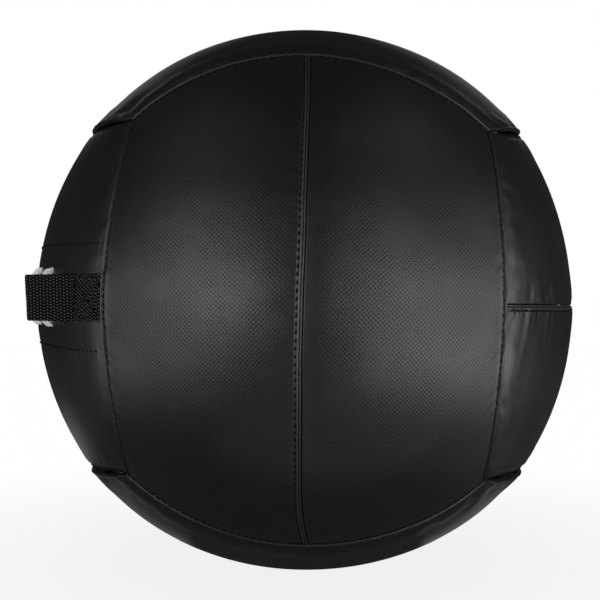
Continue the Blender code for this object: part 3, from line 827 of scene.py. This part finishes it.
GRAIN_PITCH = 0.00178
GRAIN_ANGLE = math.radians(43)


def cover_material():
    """Black coated cloth with a fine embossed lattice, smoother beside the seams, with a painted highlight
    on the crests of folded edges.
    """
    n = material_nodes("cover_vinyl")
    turned = n.add("ShaderNodeVectorRotate", rotation_type="Z_AXIS")
    n.feed(turned, Vector=n.add("ShaderNodeUVMap", uv_map="grain").outputs[0], Angle=GRAIN_ANGLE)
    parts = n.add("ShaderNodeSeparateXYZ")
    n.feed(parts, i0=turned.outputs[0])
    waves = []
    for axis in (0, 1):
        wave = n.math("SINE", n.math("MULTIPLY", parts.outputs[axis], 2 * math.pi / GRAIN_PITCH / 2))
        waves.append(n.math("POWER", n.math("ABSOLUTE", wave), 1.6))
    pits = n.math("MULTIPLY", n.math("MULTIPLY", *waves), n.attribute("open_cloth"))
    grain = n.math("MULTIPLY", pits, n.ramp(n.noise(40), 0.50, 1.0, 0.35, 0.55))
    height = n.math("ADD", n.math("MULTIPLY", grain, -1.0), n.math("MULTIPLY", n.noise(2600, 2), 0.04))
    plain = n.mix(n.noise(9), (0.0042, 0.0042, 0.0045), (0.0062, 0.0062, 0.0066))
    # Painted highlight: a lighter colour along the crests of folded edges, uneven along them
    crest_highlight = n.math("MULTIPLY", n.attribute("fold"), n.ramp(n.noise(1100), 0.35, 1.0, 0.35, 0.65))
    colour = n.mix(crest_highlight, plain, (0.040, 0.040, 0.041))
    shine = n.math("SUBTRACT", 0.50, n.math("MULTIPLY", grain, 0.34))
    return n.finish(colour, n.ramp(n.noise(16, 4), 0.33, 0.39), shine, Normal=n.bump(height, 0.00007))


def thread_material(name):
    """Black sewing thread with its twist."""
    dark, light = (0.0010, 0.0010, 0.0011), (0.005, 0.005, 0.005)
    return mottled(name, (5200, 2, 0.6), dark, light, (0.6, 0.85), 0.0001, 0.12)


def webbing_material():
    """Black webbing yarn, with painted shade between the raised floats and a painted sheen on them."""
    n = material_nodes("black_webbing")
    raised = n.attribute("float_height")
    fibres = n.noise(3800, 3, 0.8)
    # Painted sheen on the raised floats and painted shade in the gaps between them, both set by the float
    # heights
    light = n.math("MULTIPLY", n.math("POWER", raised, 1.5), n.ramp(fibres, 0.55, 1.0, 0.3, 0.7))
    colour = n.mix(light, (0.0012, 0.0012, 0.0013), (0.085, 0.085, 0.086))
    shine = n.math("MULTIPLY", raised, 0.30)
    return n.finish(colour, n.ramp(fibres, 0.60, 0.80), shine, Normal=n.bump(fibres, 0.00012))


def cord_material():
    """White cord fibre, a little grey and shadowed between its strands."""
    dark, light = (0.74, 0.74, 0.73), (0.92, 0.92, 0.91)
    return mottled("white_cord", (2600, 3, 1.2), dark, light, (0.6, 0.85), 0.0002, 0.3)


def backing_material():
    """Black woven cloth behind the laced opening."""
    dark, light = (0.004, 0.004, 0.0045), (0.014, 0.014, 0.015)
    return mottled("black_backing", (1500, 2), dark, light, 0.8, 0.0002, 0.25)


def foam_material():
    """Grey soft foam."""
    return mottled("foam", (900, 5, 0.5), (0.40, 0.40, 0.41), (0.62, 0.62, 0.63), (0.85, 1.0), 0.0006)


def fill_material():
    """Shredded cloth of several colours."""
    dark, light = (0.06, 0.08, 0.14), (0.50, 0.46, 0.42)
    return mottled("shredded_fill", (140, 5, 0.5), dark, light, (0.9, 1.0), 0.004)


def bag_material():
    """Plain woven cotton."""
    dark, light = (0.45, 0.40, 0.31), (0.68, 0.62, 0.50)
    return mottled("bag_cloth", (1200, 5, 0.5), dark, light, (0.85, 1.0), 0.0004)


def ballast_material():
    """Dark iron grit."""
    dark, light = (0.03, 0.028, 0.025), (0.16, 0.14, 0.12)
    return mottled("ballast_grit", (700, 5, 0.5), dark, light, (0.5, 1.0), 0.0012, Metallic=0.4)


def finish_piece(piece, material, replaced=()):
    """Gives a piece its material, slot and body, and hides the solids that it stands for.

    Whatever would reach below the floor is pressed flat on it first.
    """
    spots = np.empty(3 * len(piece.data.vertices), np.float32)
    piece.data.vertices.foreach_get("co", spots)
    spots[2::3] = np.maximum(spots[2::3], 0)
    piece.data.vertices.foreach_set("co", spots)
    piece.data.update()
    piece.data.materials.clear()
    piece.data.materials.append(material)
    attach(piece, "root")
    if replaced:
        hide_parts(*replaced)


def lace_point(angle, offset, height):
    """A point near the laced opening: angle along it, offset above it, height over the cover."""
    across = offset / BALL_RADIUS
    along = math.sin(angle) * math.sqrt(1 - across**2)
    direction = face_directions("left", np.array(along), np.array(across))
    return CENTRE + direction * (BALL_RADIUS + height)


HOLE_SIDES = 28
HOLE_CUT = 0.008


def punch_holes(piece, sign):
    """Cuts one row of lace holes through a piece."""
    bm = bmesh.new()
    for angle in LACE_ANGLES:
        hole = Vector(wandered(lace_point(angle, sign * LACE_ROW_OFFSET, 0)))
        turn = (hole - Vector(CENTRE)).to_track_quat("Z", "Y").to_matrix().to_4x4()
        bmesh.ops.create_cone(
            bm,
            cap_ends=True,
            segments=HOLE_SIDES,
            radius1=LACE_HOLE_DIAMETER / 2,
            radius2=LACE_HOLE_DIAMETER / 2,
            depth=2 * HOLE_CUT,
            matrix=Matrix.Translation(hole) @ turn,
        )
    cutter = linked("hole_cutter", bpy.data.meshes.new("hole_cutter"))
    bm.to_mesh(cutter.data)
    bm.free()
    cut = piece.modifiers.new("holes", "BOOLEAN")
    cut.operation = "DIFFERENCE"
    cut.solver = "EXACT"
    cut.object = cutter
    bake(piece)
    bpy.data.objects.remove(cutter)


OPEN_CLOTH_REACH = (0.0022, 0.0085)


def cover_panels(material):
    """The twelve panels of the cover."""
    panels = [Panel(face, side) for face in FACES for side in (0, 1)]
    press_cover(panels)
    for panel in panels:
        panel.raise_surface()
        piece = shell(panel.name + "_cover", panel.points, panel.directions)
        grain = np.zeros((len(piece.data.vertices), 2))
        grain[: panel.along.size] = np.stack([panel.from_middle, panel.across], -1).reshape(-1, 2)
        add_uv(piece, "grain", grain)
        near = np.minimum(np.minimum(panel.across, panel.from_long), panel.from_ends)
        add_weights(piece, "open_cloth", smooth_step(near, *OPEN_CLOTH_REACH))
        # The fold weights mark where the cover gets its painted highlight
        add_weights(piece, "fold", panel.folds())
        if panel.face == "left":
            punch_holes(piece, panel.sign)
        finish_piece(piece, material, [panel.name])
    return panels


# The stitched edges of each kind of seam, and the stitches' distance from them
STITCHED_EDGES = {
    "lap": (("centre", CENTRE_STITCH_INSET),),
    "hem": (("long", HEM_STITCH_INSET),),
    "band": (("long", BAND_STITCH_INSET),),
    "sunk": (("start", EDGE_STITCH_INSET), ("end", EDGE_STITCH_INSET)),
}


def seam_stitches(panels, material):
    """The thread along every seam, one piece for each panel that carries it."""
    for panel in panels:
        parts = []
        for kind in (panel.centre_kind, panel.long_kind, panel.end_kind):
            for edge, inset in STITCHED_EDGES.get(kind, ()):
                parts += stitches(*panel.inset_path(edge, inset))
        if parts:
            finish_piece(joined(panel.name + "_stitches", parts), material)


def patch_stitches(panels, material):
    """The rows of stitches that hold the lace patches to the cover."""
    for panel in panels:
        if panel.face == "left":
            parts = stitches(*panel.offset_path(PATCH_LINE_OFFSETS[panel.side]), PATCH_THREAD)
            finish_piece(joined(panel.name + "_patch_stitches", parts), material)


PLATE_COLUMNS = 161
PATCH_ROWS = 17
PATCH_END_GAP = 0.002
TONGUE_ROWS = 25
TONGUE_SAG = 0.0002
SAG_WAVES = (0.02, 0.09, 5)


def plate(name, offsets, end_angle, depth, sag=0.0):
    """A curved strip of cloth along the laced opening."""
    angles = np.linspace(-end_angle, end_angle, PLATE_COLUMNS)
    across = np.array(offsets)[:, None] / BALL_RADIUS + 0 * angles[None]
    along = np.sin(angles)[None] * np.sqrt(1 - across**2)
    directions = face_directions("left", along, across)
    radius = BALL_RADIUS - depth + sag * ripple(angles * BALL_RADIUS, *SAG_WAVES)
    points = wandered(CENTRE + directions * np.broadcast_to(radius, across.shape)[..., None])
    return shell(name, points, unit(points - CENTRE))


def opening_cloth(material):
    """The patches behind the lace holes and the tongue behind the slit."""
    reach = math.acos(LONG_SEAM_SHARE) - PATCH_END_GAP / BALL_RADIUS
    rows = np.linspace(SLIT_HALF_WIDTH, PATCH_HALF_WIDTH, PATCH_ROWS)
    for side, sign in (("lower", -1), ("upper", 1)):
        name = side + "_lace_patch"
        piece = plate(name + "_cloth", sign * rows, reach, PATCH_DEPTH)
        punch_holes(piece, sign)
        finish_piece(piece, material, [name])
    rows = np.linspace(-TONGUE_HALF_WIDTH, TONGUE_HALF_WIDTH, TONGUE_ROWS)
    piece = plate("lace_tongue_cloth", rows, TONGUE_END_ANGLE, TONGUE_DEPTH, TONGUE_SAG)
    finish_piece(piece, material, ["lace_tongue"])


# The cord's way from hole to hole: shares of the way and of the rise from under to over. The
# tails' points are shares back along the opening, inwards to the hitch, and of the rise.
HIGH_STRAND_SHARES = (
    (0.09, 1.0), (0.29, 1.01), (0.49, 0.99), (0.60, 0.76), (0.68, 0.30), (0.75, 0.02), (0.91, 0.01),
)
LOW_STRAND_SHARES = (
    (0.09, 1.0), (0.22, 1.0), (0.31, 0.81), (0.41, 0.47), (0.50, 0.23), (0.62, 0.03), (0.91, 0.01),
)
HOLE_LEVEL_SHARES = (0.16, 0.42, 0.74)
TAIL_SHARES = (
    (-0.03, 0.20, 0.99), (-0.13, 0.50, 1.01), (-0.16, 0.80, 1.0), (-0.06, 0.97, 1.0),
    (0.06, 1.0, 1.0), (0.22, 1.0, 0.96), (0.34, 1.0, 0.50), (0.44, 1.0, 0.10), (0.53, 1.0, 0.0),
)
BAR_LEAD_SHARE = 0.06
BAR_SHARES = (-0.8, -0.3, 0.3, 0.8)
CORD_CLEARANCE = 0.00035
CORD_RISE = CORD_OVER_HEIGHT + CORD_UNDER_DEPTH


def strand(side):
    """One strand of the lacing from the front holes to the last: angle, offset, height."""
    route = []
    for pair, angle in enumerate(LACE_ANGLES):
        hole = side * LACE_ROW_OFFSET
        route += [(angle, hole, CORD_RISE * level - CORD_UNDER_DEPTH) for level in HOLE_LEVEL_SHARES]
        if pair == LACE_PAIRS - 1:
            break
        for share, level in HIGH_STRAND_SHARES if side > 0 else LOW_STRAND_SHARES:
            height = CORD_RISE * level - CORD_UNDER_DEPTH
            route.append((angle + LACE_PITCH_ANGLE * share, hole * (1 - 2 * share), height))
        side = -side
    return route


def strand_tail(side):
    """The end of a strand, from its last hole through the hitch and down into the slit."""
    hole = side * LACE_ROW_OFFSET
    beside = side * (CORD_RADIUS + CORD_CLEARANCE)
    route = []
    for back, inward, level in TAIL_SHARES:
        angle = LACE_ANGLES[-1] + LACE_PITCH_ANGLE * back
        route.append((angle, hole + (beside - hole) * inward, CORD_RISE * level - CORD_UNDER_DEPTH))
    return route


def cord_route():
    """The whole lacing, from tail to tail, with its bar between the two front holes."""
    bar = LACE_ANGLES[0] - LACE_PITCH_ANGLE * BAR_LEAD_SHARE
    last_side = 1 if LACE_PAIRS % 2 else -1
    first = strand(1) + strand_tail(last_side)
    second = strand(-1) + strand_tail(-last_side)
    middle = [(bar, -share * LACE_ROW_OFFSET, -CORD_UNDER_DEPTH) for share in BAR_SHARES]
    return wandered(np.array([lace_point(*place) for place in first[::-1] + middle + second]))


def smooth_points(points, longest, closed=False):
    """A smooth curve through the points, with steps no longer than the given length."""
    if closed:
        padded = np.concatenate([points[-1:], points, points[:2]])
    else:
        padded = np.concatenate([[2 * points[0] - points[1]], points, [2 * points[-1] - points[-2]]])
    smooth = []
    for before, start, end, after in zip(padded, padded[1:], padded[2:], padded[3:]):
        steps = max(1, math.ceil(np.linalg.norm(end - start) / longest))
        t = np.arange(steps)[:, None] / steps
        bend = (-before + 3 * start - 3 * end + after) * t**3
        bow = (2 * before - 5 * start + 4 * end - after) * t**2
        smooth.append((bend + bow + (end - before) * t) / 2 + start)
    return np.concatenate(smooth + [points[:1] if closed else points[-1:]])


ROPE_LAY = 0.0165
THIN_ROPE_LAY = 0.009
ROPE_STEP = 0.0009
STRAND_SIDES = 10
LACING_STEP = 0.002
RING_STEP = 0.001
RING_POINTS = 40
TIE_POINTS = 49


def rope(path, radius, lay):
    """Three strands twisted round a path, which fill a cord of the given radius."""
    _, path = resampled(path, ROPE_STEP)
    forward = unit(np.gradient(path, axis=0))
    carried = np.cross(forward[0], (0.3, 0.5, 0.8))
    side = []
    for direction in forward:
        carried = carried - direction * (carried @ direction)
        carried = carried / np.linalg.norm(carried)
        side.append(carried)
    up = np.cross(forward, side)
    turn = 2 * math.pi * np.arange(len(path)) * ROPE_STEP / lay
    parts = []
    for number in range(3):
        angle = (turn + number * 2 * math.pi / 3)[:, None]
        outward = np.cos(angle) * side + np.sin(angle) * up
        parts.append(tube(path + radius / 2 * outward, radius / 2, STRAND_SIDES, outward))
    return parts


def lacing(material):
    """The lacing cord and the hitch round its tails."""
    parts = rope(smooth_points(cord_route(), LACING_STEP), CORD_RADIUS, ROPE_LAY)
    finish_piece(joined("lacing_rope", parts), material, ["lacing_cord"])
    half_width = 2 * (CORD_RADIUS + CORD_CLEARANCE) + HITCH_CORD_DIAMETER / 2
    half_height = CORD_RADIUS + 2 * CORD_CLEARANCE + HITCH_CORD_DIAMETER / 2
    ring = []
    for turn in np.linspace(0, 2 * math.pi, RING_POINTS, endpoint=False):
        height = CORD_OVER_HEIGHT + half_height * math.sin(turn)
        ring.append(lace_point(HITCH_ANGLE, half_width * math.cos(turn), height))
    ring = smooth_points(wandered(np.array(ring)), RING_STEP, closed=True)
    parts = rope(ring, HITCH_CORD_DIAMETER / 2, THIN_ROPE_LAY)
    finish_piece(joined("lacing_hitch_rope", parts), material, ["lacing_hitch"])


# The strap's route: angles from the middle of the left face, and heights over the cover
STRAP_SEWN_LENGTH = 0.028
STRAP_SEWN_FADE = (STRAP_SEWN_LENGTH - 0.002, STRAP_SEWN_LENGTH)
STRAP_SEWN_HEIGHT = 0.0002
STRAP_FOLD_ANGLE = math.radians(42.5)
STRAP_END_ANGLE = math.radians(52.0)
STRAP_HUMP_ANGLE = math.radians(35.2)
STRAP_HUMP_HEIGHT = 0.0176
STRAP_HUMP_ROUNDING = 0.004
STRAP_FOLD_ROUNDING = 0.003
STRAP_ARC_POINTS = 12
STRAP_TWIST = 0.0007
STRAP_END_DIP = 0.0013
STRAP_DIP_LENGTH = 0.0045
STRAP_STEPS = (0.0012, 0.0004, 0.00042)
STRAP_ACROSS_STEPS = 120
SELVAGE_SHARE = 0.06

# The webbing's weave where it is free and where it is sewn: pitch along the strap and across it,
# stagger, rounding and unevenness
LOOSE_WEAVE = (0.00213, 0.00087, 0.36, 2.0, 0.0)
TIGHT_WEAVE = (0.0019, 0.00095, 0.5, 1.2, 0.30)
FLOAT_SLANT = 0.5
FLOAT_FULLNESS = 0.40
FLOAT_HEIGHT = 0.00042
WEAVE_WAVES = (0.004, 0.012)


def outward_at(angle):
    """Outward direction in the strap's plane, at an angle from the middle of the left face."""
    return np.array([-math.cos(angle), math.sin(angle), 0])


def forward_at(angle):
    """Direction along the cover in the strap's plane, towards the front, at that angle."""
    return np.array([-math.sin(angle), -math.cos(angle), 0])


def rounded_corner(corner, before, after, radius):
    """An arc of the given radius where two straight runs meet."""
    turn = math.acos(np.clip(before @ after, -1, 1))
    start = corner - before * radius * math.tan(turn / 2)
    normal = unit(after - before * (before @ after))
    angles = np.linspace(0, turn, STRAP_ARC_POINTS)
    return [start + radius * (before * math.sin(a) + normal * (1 - math.cos(a))) for a in angles]


def strap_half_route():
    """Middle line of the strap from its middle to its front sewn end, from the ball's centre."""
    sewn_radius = BALL_RADIUS + STRAP_SEWN_HEIGHT + STRAP_THICKNESS / 2
    lie_radius = BALL_RADIUS + CORD_OVER_HEIGHT + CORD_RADIUS + CORD_CLEARANCE + STRAP_THICKNESS / 2
    hump_radius = BALL_RADIUS + STRAP_HUMP_HEIGHT
    hump = outward_at(-STRAP_HUMP_ANGLE) * hump_radius
    fold = outward_at(-STRAP_FOLD_ANGLE) * sewn_radius
    down = unit(fold - hump)
    lie_end = STRAP_HUMP_ANGLE - math.acos(lie_radius / hump_radius)
    lying = np.linspace(0, lie_end, STRAP_ARC_POINTS)
    sewn = np.linspace(STRAP_FOLD_ANGLE, STRAP_END_ANGLE, STRAP_ARC_POINTS)[2:]
    route = [outward_at(-angle) * lie_radius for angle in lying]
    route += rounded_corner(hump, forward_at(-lie_end), down, STRAP_HUMP_ROUNDING)
    route += rounded_corner(fold, down, forward_at(-STRAP_FOLD_ANGLE), STRAP_FOLD_ROUNDING)
    return np.array(route + [outward_at(-angle) * sewn_radius for angle in sewn])


def strap_path():
    """The strap's middle line from the rear end to the front end, at even steps."""
    front = strap_half_route()
    route = np.concatenate([(front * (1, -1, 1))[:0:-1], front])
    coarse, smooth, even = STRAP_STEPS
    _, path = resampled(route, coarse)
    path = smooth_points(np.concatenate([path, route[-1:]]), smooth)
    run, path = resampled(path, even)
    from_end = np.minimum(run, run[-1] - run)
    dip = STRAP_END_DIP * (1 - smooth_step(from_end, 0, STRAP_DIP_LENGTH))
    sewn = 1 - smooth_step(from_end, *STRAP_SEWN_FADE)
    return run, path - unit(path) * dip[:, None] + CENTRE + (0, 0, STRAP_RISE), sewn[:, None]


def weave(run, across, pitch, row_pitch, stagger, rounding, uneven):
    """Height of webbing floats in staggered columns, from 0 in the gaps to 1."""
    place = run[:, None] / pitch + uneven * ripple(across, *WEAVE_WAVES, 21)[None]
    column = np.round(place)
    within = place - column
    row = across[None] / row_pitch + FLOAT_SLANT * within
    row = row + uneven * ripple(run, *WEAVE_WAVES, 22)[:, None]
    row = row + 2 * stagger * np.mod(column, 2)
    lobe = np.clip(FLOAT_FULLNESS + (1 - FLOAT_FULLNESS) * np.cos(math.pi * row), 0, 1)
    return np.cos(math.pi * within) ** rounding * lobe


def grab_strap(material, thread):
    """The webbing strap with its woven floats, and the thread that sews it down."""
    run, path, sewn = strap_path()
    outward = unit(np.cross(unit(np.gradient(path, axis=0)), (0, 0, 1)))
    outward *= np.sign((outward * (path - CENTRE)).sum(1))[:, None]
    across = np.linspace(-1, 1, STRAP_ACROSS_STEPS)
    beside = across * STRAP_WIDTH / 2
    floats = weave(run, beside, *LOOSE_WEAVE) * (1 - sewn) + weave(run, beside, *TIGHT_WEAVE) * sewn
    into_selvage = np.clip((abs(across) - (1 - SELVAGE_SHARE)) / SELVAGE_SHARE, 0, 1)
    selvage = np.sqrt(np.clip(1 - into_selvage**2, 0.04, 1))
    twist = STRAP_TWIST * across[None] * (1 - sewn)
    points, reliefs = [], []
    for sign in (1, -1):
        relief = floats if sign > 0 else 1 - floats
        thick = STRAP_THICKNESS / 2 * selvage[None] + FLOAT_HEIGHT * (relief - 0.5) * selvage[None]
        offset = twist + sign * thick
        grid = path[:, None] + outward[:, None] * offset[..., None] + UP * beside[None, :, None]
        points += list(grid.reshape(-1, 3))
        reliefs.append(relief)
    rows, columns = floats.shape
    faces = grid_faces(rows, columns)
    faces += [face[::-1] for face in grid_faces(rows, columns, floats.size)]
    numbers = np.arange(floats.size).reshape(rows, columns)
    for edge in (numbers[:, 0], numbers[:, -1], numbers[0], numbers[-1]):
        pairs = zip(edge.tolist(), edge.tolist()[1:])
        faces += [(a, b, b + floats.size, a + floats.size) for a, b in pairs]
    piece = mesh_object("grab_strap_webbing", points, faces)
    turn_out(piece)
    # The float heights also set the webbing's painted sheen and painted shade
    add_weights(piece, "float_height", np.array(reliefs))
    finish_piece(piece, material, ["grab_strap"])
    strap_stitches(run, path, outward, thread)


# The box and cross that sew the strap down: where the box starts and stops from the strap's end,
# half its height, and how far inside it a second line of thread starts and stops
SEWN_NEAR = 0.0030
SEWN_FAR = STRAP_SEWN_LENGTH - 0.0012
SEWN_HIGH = STRAP_WIDTH / 2 - 0.0022
SECOND_BOX_INSETS = (0.001, 0.0016)
SEWN_POINTS = 30


def strap_stitches(run, path, outward, material):
    """The box and the cross of thread at both ends of the strap."""
    near, far, high = SEWN_NEAR, SEWN_FAR, SEWN_HIGH
    start, stop = near + SECOND_BOX_INSETS[0], far - SECOND_BOX_INSETS[1]
    box = ((near, -high), (far, -high), (far, high), (near, high), (near, -high))
    second_box = ((start, -high), (stop, -high), (stop, high), (start, high))
    share = np.linspace(0, 1, SEWN_POINTS)[:, None]
    parts = []
    for rear in (False, True):
        for line in (box, second_box, ((near, -high), (far, high)), ((near, high), (far, -high))):
            for begin, end in zip(np.array(line), np.array(line[1:])):
                spots = begin * (1 - share) + end * share
                place = run[-1] - spots[:, 0] if rear else spots[:, 0]
                out = unit(read_path(place, run, outward))
                surface = read_path(place, run, path) + out * STRAP_THICKNESS / 2 + UP * spots[:, 1:]
                parts += stitches(surface, out, STRAP_THREAD)
    finish_piece(joined("grab_strap_stitches", parts), material)


# How unevenly the inside has packed down: length of its swells, and the share that it shrinks
SAG_LENGTH = 0.045
SAG_SHARE = 0.010
SMOOTHING_PASSES = 3
SMOOTHING = 0.4

# The inner pieces of each slot, the size of their mesh, and the height and length of their lumps
INNER_PIECES = {
    "padding": (("lower_padding", "upper_padding"), 0.0045, 0.0006, 0.018),
    "fill": (("lower_fill", "upper_fill"), 0.0045, 0.0040, 0.013),
    "bag": (("ballast_bag",), 0.0, 0.0, 0.010),
    "ballast": (("ballast",), 0.0030, 0.0012, 0.006),
}


def sagged(points):
    """Points inside the ball, drawn in unevenly the way that its filling has packed down."""
    waves = np.array([noise.noise(Vector(point) / SAG_LENGTH) for point in points])
    return CENTRE + (points - CENTRE) * (1 - SAG_SHARE * (0.5 + 0.5 * waves))[:, None]


def soft_copy(node, step, lump_height, lump_length):
    """A finer copy of an inner solid, with soft edges and lumps that go inwards."""
    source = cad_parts[node]
    data = source.data.copy()
    data.transform(source.matrix_world)
    piece = linked(node + "_soft", data)
    finer = piece.modifiers.new("finer", "REMESH" if step else "SUBSURF")
    if step:
        finer.mode = "VOXEL"
        finer.voxel_size = step
    else:
        finer.subdivision_type = "SIMPLE"
        finer.levels = finer.render_levels = 2
    bake(piece)
    bm = bmesh.new()
    bm.from_mesh(piece.data)
    axes = {f"use_axis_{axis}": True for axis in "xyz"}
    for _ in range(SMOOTHING_PASSES if step else 0):
        bmesh.ops.smooth_vert(bm, verts=bm.verts, factor=SMOOTHING, **axes)
    bm.normal_update()
    for vert in bm.verts:
        lump = 0.5 + 0.5 * noise.noise(vert.co / lump_length)
        vert.co -= vert.normal * lump_height * lump
    bm.to_mesh(piece.data)
    bm.free()
    points = np.array([vert.co for vert in piece.data.vertices])
    if "padding" in node:
        points = wandered(points)
    piece.data.vertices.foreach_set("co", sagged(points).astype(np.float32).ravel())
    piece.data.shade_smooth()
    return piece


def neck_tie(material):
    """The cord round the neck of the ballast bag, where its plain ring lies."""
    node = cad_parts["ballast_bag_tie"]
    points = np.array([node.matrix_world @ vert.co for vert in node.data.vertices])
    low, high = points.min(0), points.max(0)
    radius = (high[2] - low[2]) / 2
    reach = (high[0] - low[0]) / 2 - radius
    turns = np.linspace(0, 2 * math.pi, TIE_POINTS)
    ring = np.stack([reach * np.cos(turns), reach * np.sin(turns), 0 * turns], 1) + (low + high) / 2
    parts = rope(sagged(ring), radius, THIN_ROPE_LAY)
    finish_piece(joined("ballast_bag_tie_cord", parts), material, ["ballast_bag_tie"])


def inner_pieces():
    """The padding, the filling and the ballast inside the ball."""
    looks = {
        "padding": foam_material(),
        "fill": fill_material(),
        "bag": bag_material(),
        "ballast": ballast_material(),
    }
    for slot, (nodes, *sizes) in INNER_PIECES.items():
        for node in nodes:
            piece = soft_copy(node, *sizes)
            finish_piece(piece, looks[slot], [node])


# The camera, from the ball's centre, in the photograph's frame of 600 by 600
CAMERA_DISTANCE = 0.6845
LENS_PIXELS = 995.6
PHOTO_SIZE = 600
SENSOR_MILLIMETRES = 36
BALL_RIGHT_PIXELS = 5.5
BALL_DOWN_PIXELS = 0.8


def camera():
    """A level camera in front of the ball, at the photograph's distance."""
    data = bpy.data.cameras.new("camera")
    data.sensor_width = SENSOR_MILLIMETRES
    data.lens = LENS_PIXELS / PHOTO_SIZE * SENSOR_MILLIMETRES
    data.shift_x = -BALL_RIGHT_PIXELS / PHOTO_SIZE
    data.shift_y = BALL_DOWN_PIXELS / PHOTO_SIZE
    seen = linked("camera", data)
    seen.location = (0, -CAMERA_DISTANCE, CENTRE[2])
    seen.rotation_euler = (math.pi / 2, 0, 0)
    bpy.context.scene.camera = seen


# Softboxes round the ball: elevation, width, height, and each one's azimuth and radiance
LAMP_DISTANCE = 1.4
SOFTBOXES = (
    (0, 0.62, 0.50, ((-75, 1.40), (-50, 2.50), (-28, 4.10), (28, 3.20), (50, 3.35), (75, 2.90))),
    (22, 0.62, 0.50, ((-50, 1.50), (-28, 1.20), (28, 1.25), (50, 0.55), (75, 0.65))),
    (55, 0.90, 0.70, ((-60, 0.27), (60, 0.35))),
    (26, 0.50, 0.40, ((-160, 0.45), (160, 0.45))),
    (12, 0.60, 0.50, ((180, 0.60),)),
)
# Flat panels that lie on the floor: azimuth, distance, depth, width, radiance
FLOOR_PANELS = (
    (-50, 0.62, 0.32, 0.62, 1.90),
    (50, 0.62, 0.32, 0.62, 4.20),
    (-50, 0.38, 0.16, 0.42, 0.40),
    (50, 0.38, 0.16, 0.42, 1.50),
    (6, 0.31, 0.28, 0.26, 0.24),
    (50, 0.24, 0.12, 0.30, 0.15),
    (-140, 0.33, 0.24, 0.34, 0.36),
    (-114, 0.115, 0.11, 0.15, 0.22),
    (114, 0.115, 0.11, 0.15, 0.30),
)
PANEL_HEIGHT = 0.006
SURROUND = 0.037


def lamp(name, spot, facing, width, height, radiance):
    """A soft rectangular lamp that the camera doesn't see."""
    data = bpy.data.lights.new(name, "AREA")
    data.shape = "RECTANGLE"
    data.size = width
    data.size_y = height
    data.energy = radiance * math.pi * width * height
    piece = linked(name, data)
    piece.location = spot
    piece.rotation_euler = facing
    piece.visible_camera = False


def lamps():
    """Softboxes round the ball, and flat panels on the floor that light it from below."""
    number = 0
    for elevation, width, height, places in SOFTBOXES:
        rise = math.radians(elevation)
        level = math.cos(rise)
        for azimuth, radiance in places:
            number += 1
            turn = math.radians(azimuth)
            away = Vector((math.sin(turn) * level, -math.cos(turn) * level, math.sin(rise)))
            facing = away.to_track_quat("Z", "Y").to_euler()
            spot = Vector(CENTRE) + away * LAMP_DISTANCE
            lamp(f"softbox_{number}", spot, facing, width, height, radiance)
    for number, (azimuth, distance, depth, width, radiance) in enumerate(FLOOR_PANELS):
        turn = math.radians(azimuth)
        spot = (math.sin(turn) * distance, -math.cos(turn) * distance, PANEL_HEIGHT)
        lamp(f"floor_panel_{number + 1}", spot, (math.pi, 0, turn), width, depth, radiance)


def surround():
    """A world that is white for the camera and dim for the ball."""
    n = Nodes(bpy.data.worlds.new("surround"))
    bpy.context.scene.world = n.owner
    strength = n.ramp(n.add("ShaderNodeLightPath").outputs["Is Camera Ray"], SURROUND, 1.0)
    n.feed(n.tree.nodes["Background"], Strength=strength, Color=(1, 1, 1))


FLOOR_HALF_SIZE = 3.0
FLOOR_CORNERS = ((-1, -1), (1, -1), (1, 1), (-1, 1))
SHADOW_REACH = (0.10, 0.42)
SHADOW_SHARES = (0.14, 0.008)


def floor():
    """A plain pale floor that goes to white for the camera and keeps a soft shadow."""
    corners = [(FLOOR_HALF_SIZE * x, FLOOR_HALF_SIZE * y, 0) for x, y in FLOOR_CORNERS]
    piece = mesh_object("floor", corners, [(0, 1, 2, 3)])
    n = material_nodes("pale_floor")
    piece.data.materials.append(n.finish((0.30, 0.30, 0.30), 0.9, 0.1))
    glow = n.add("ShaderNodeEmission")
    rays = n.add("ShaderNodeLightPath")
    mix = n.add("ShaderNodeMixShader")
    away = n.add("ShaderNodeVectorMath", operation="LENGTH")
    n.feed(away, i0=n.place())
    near, far = SHADOW_SHARES
    white = n.ramp(away.outputs["Value"], 1 - near, 1 - far, *SHADOW_REACH)
    share = n.math("MULTIPLY", rays.outputs["Is Camera Ray"], white)
    n.feed(mix, i0=share, i1=n.tree.nodes["Principled BSDF"].outputs[0], i2=glow.outputs[0])
    n.feed(n.tree.nodes["Material Output"], Surface=mix.outputs[0])


def main():
    """Builds the camera, the ball from the outside in, and its lighting."""
    camera()
    thread = thread_material("sewing_thread")
    cord = cord_material()
    panels = cover_panels(cover_material())
    seam_stitches(panels, thread)
    patch_stitches(panels, thread)
    opening_cloth(backing_material())
    lacing(cord)
    grab_strap(webbing_material(), thread_material("strap_thread"))
    inner_pieces()
    neck_tie(cord)
    lamps()
    surround()
    floor()
    bpy.context.scene.view_settings.view_transform = "Standard"


main()
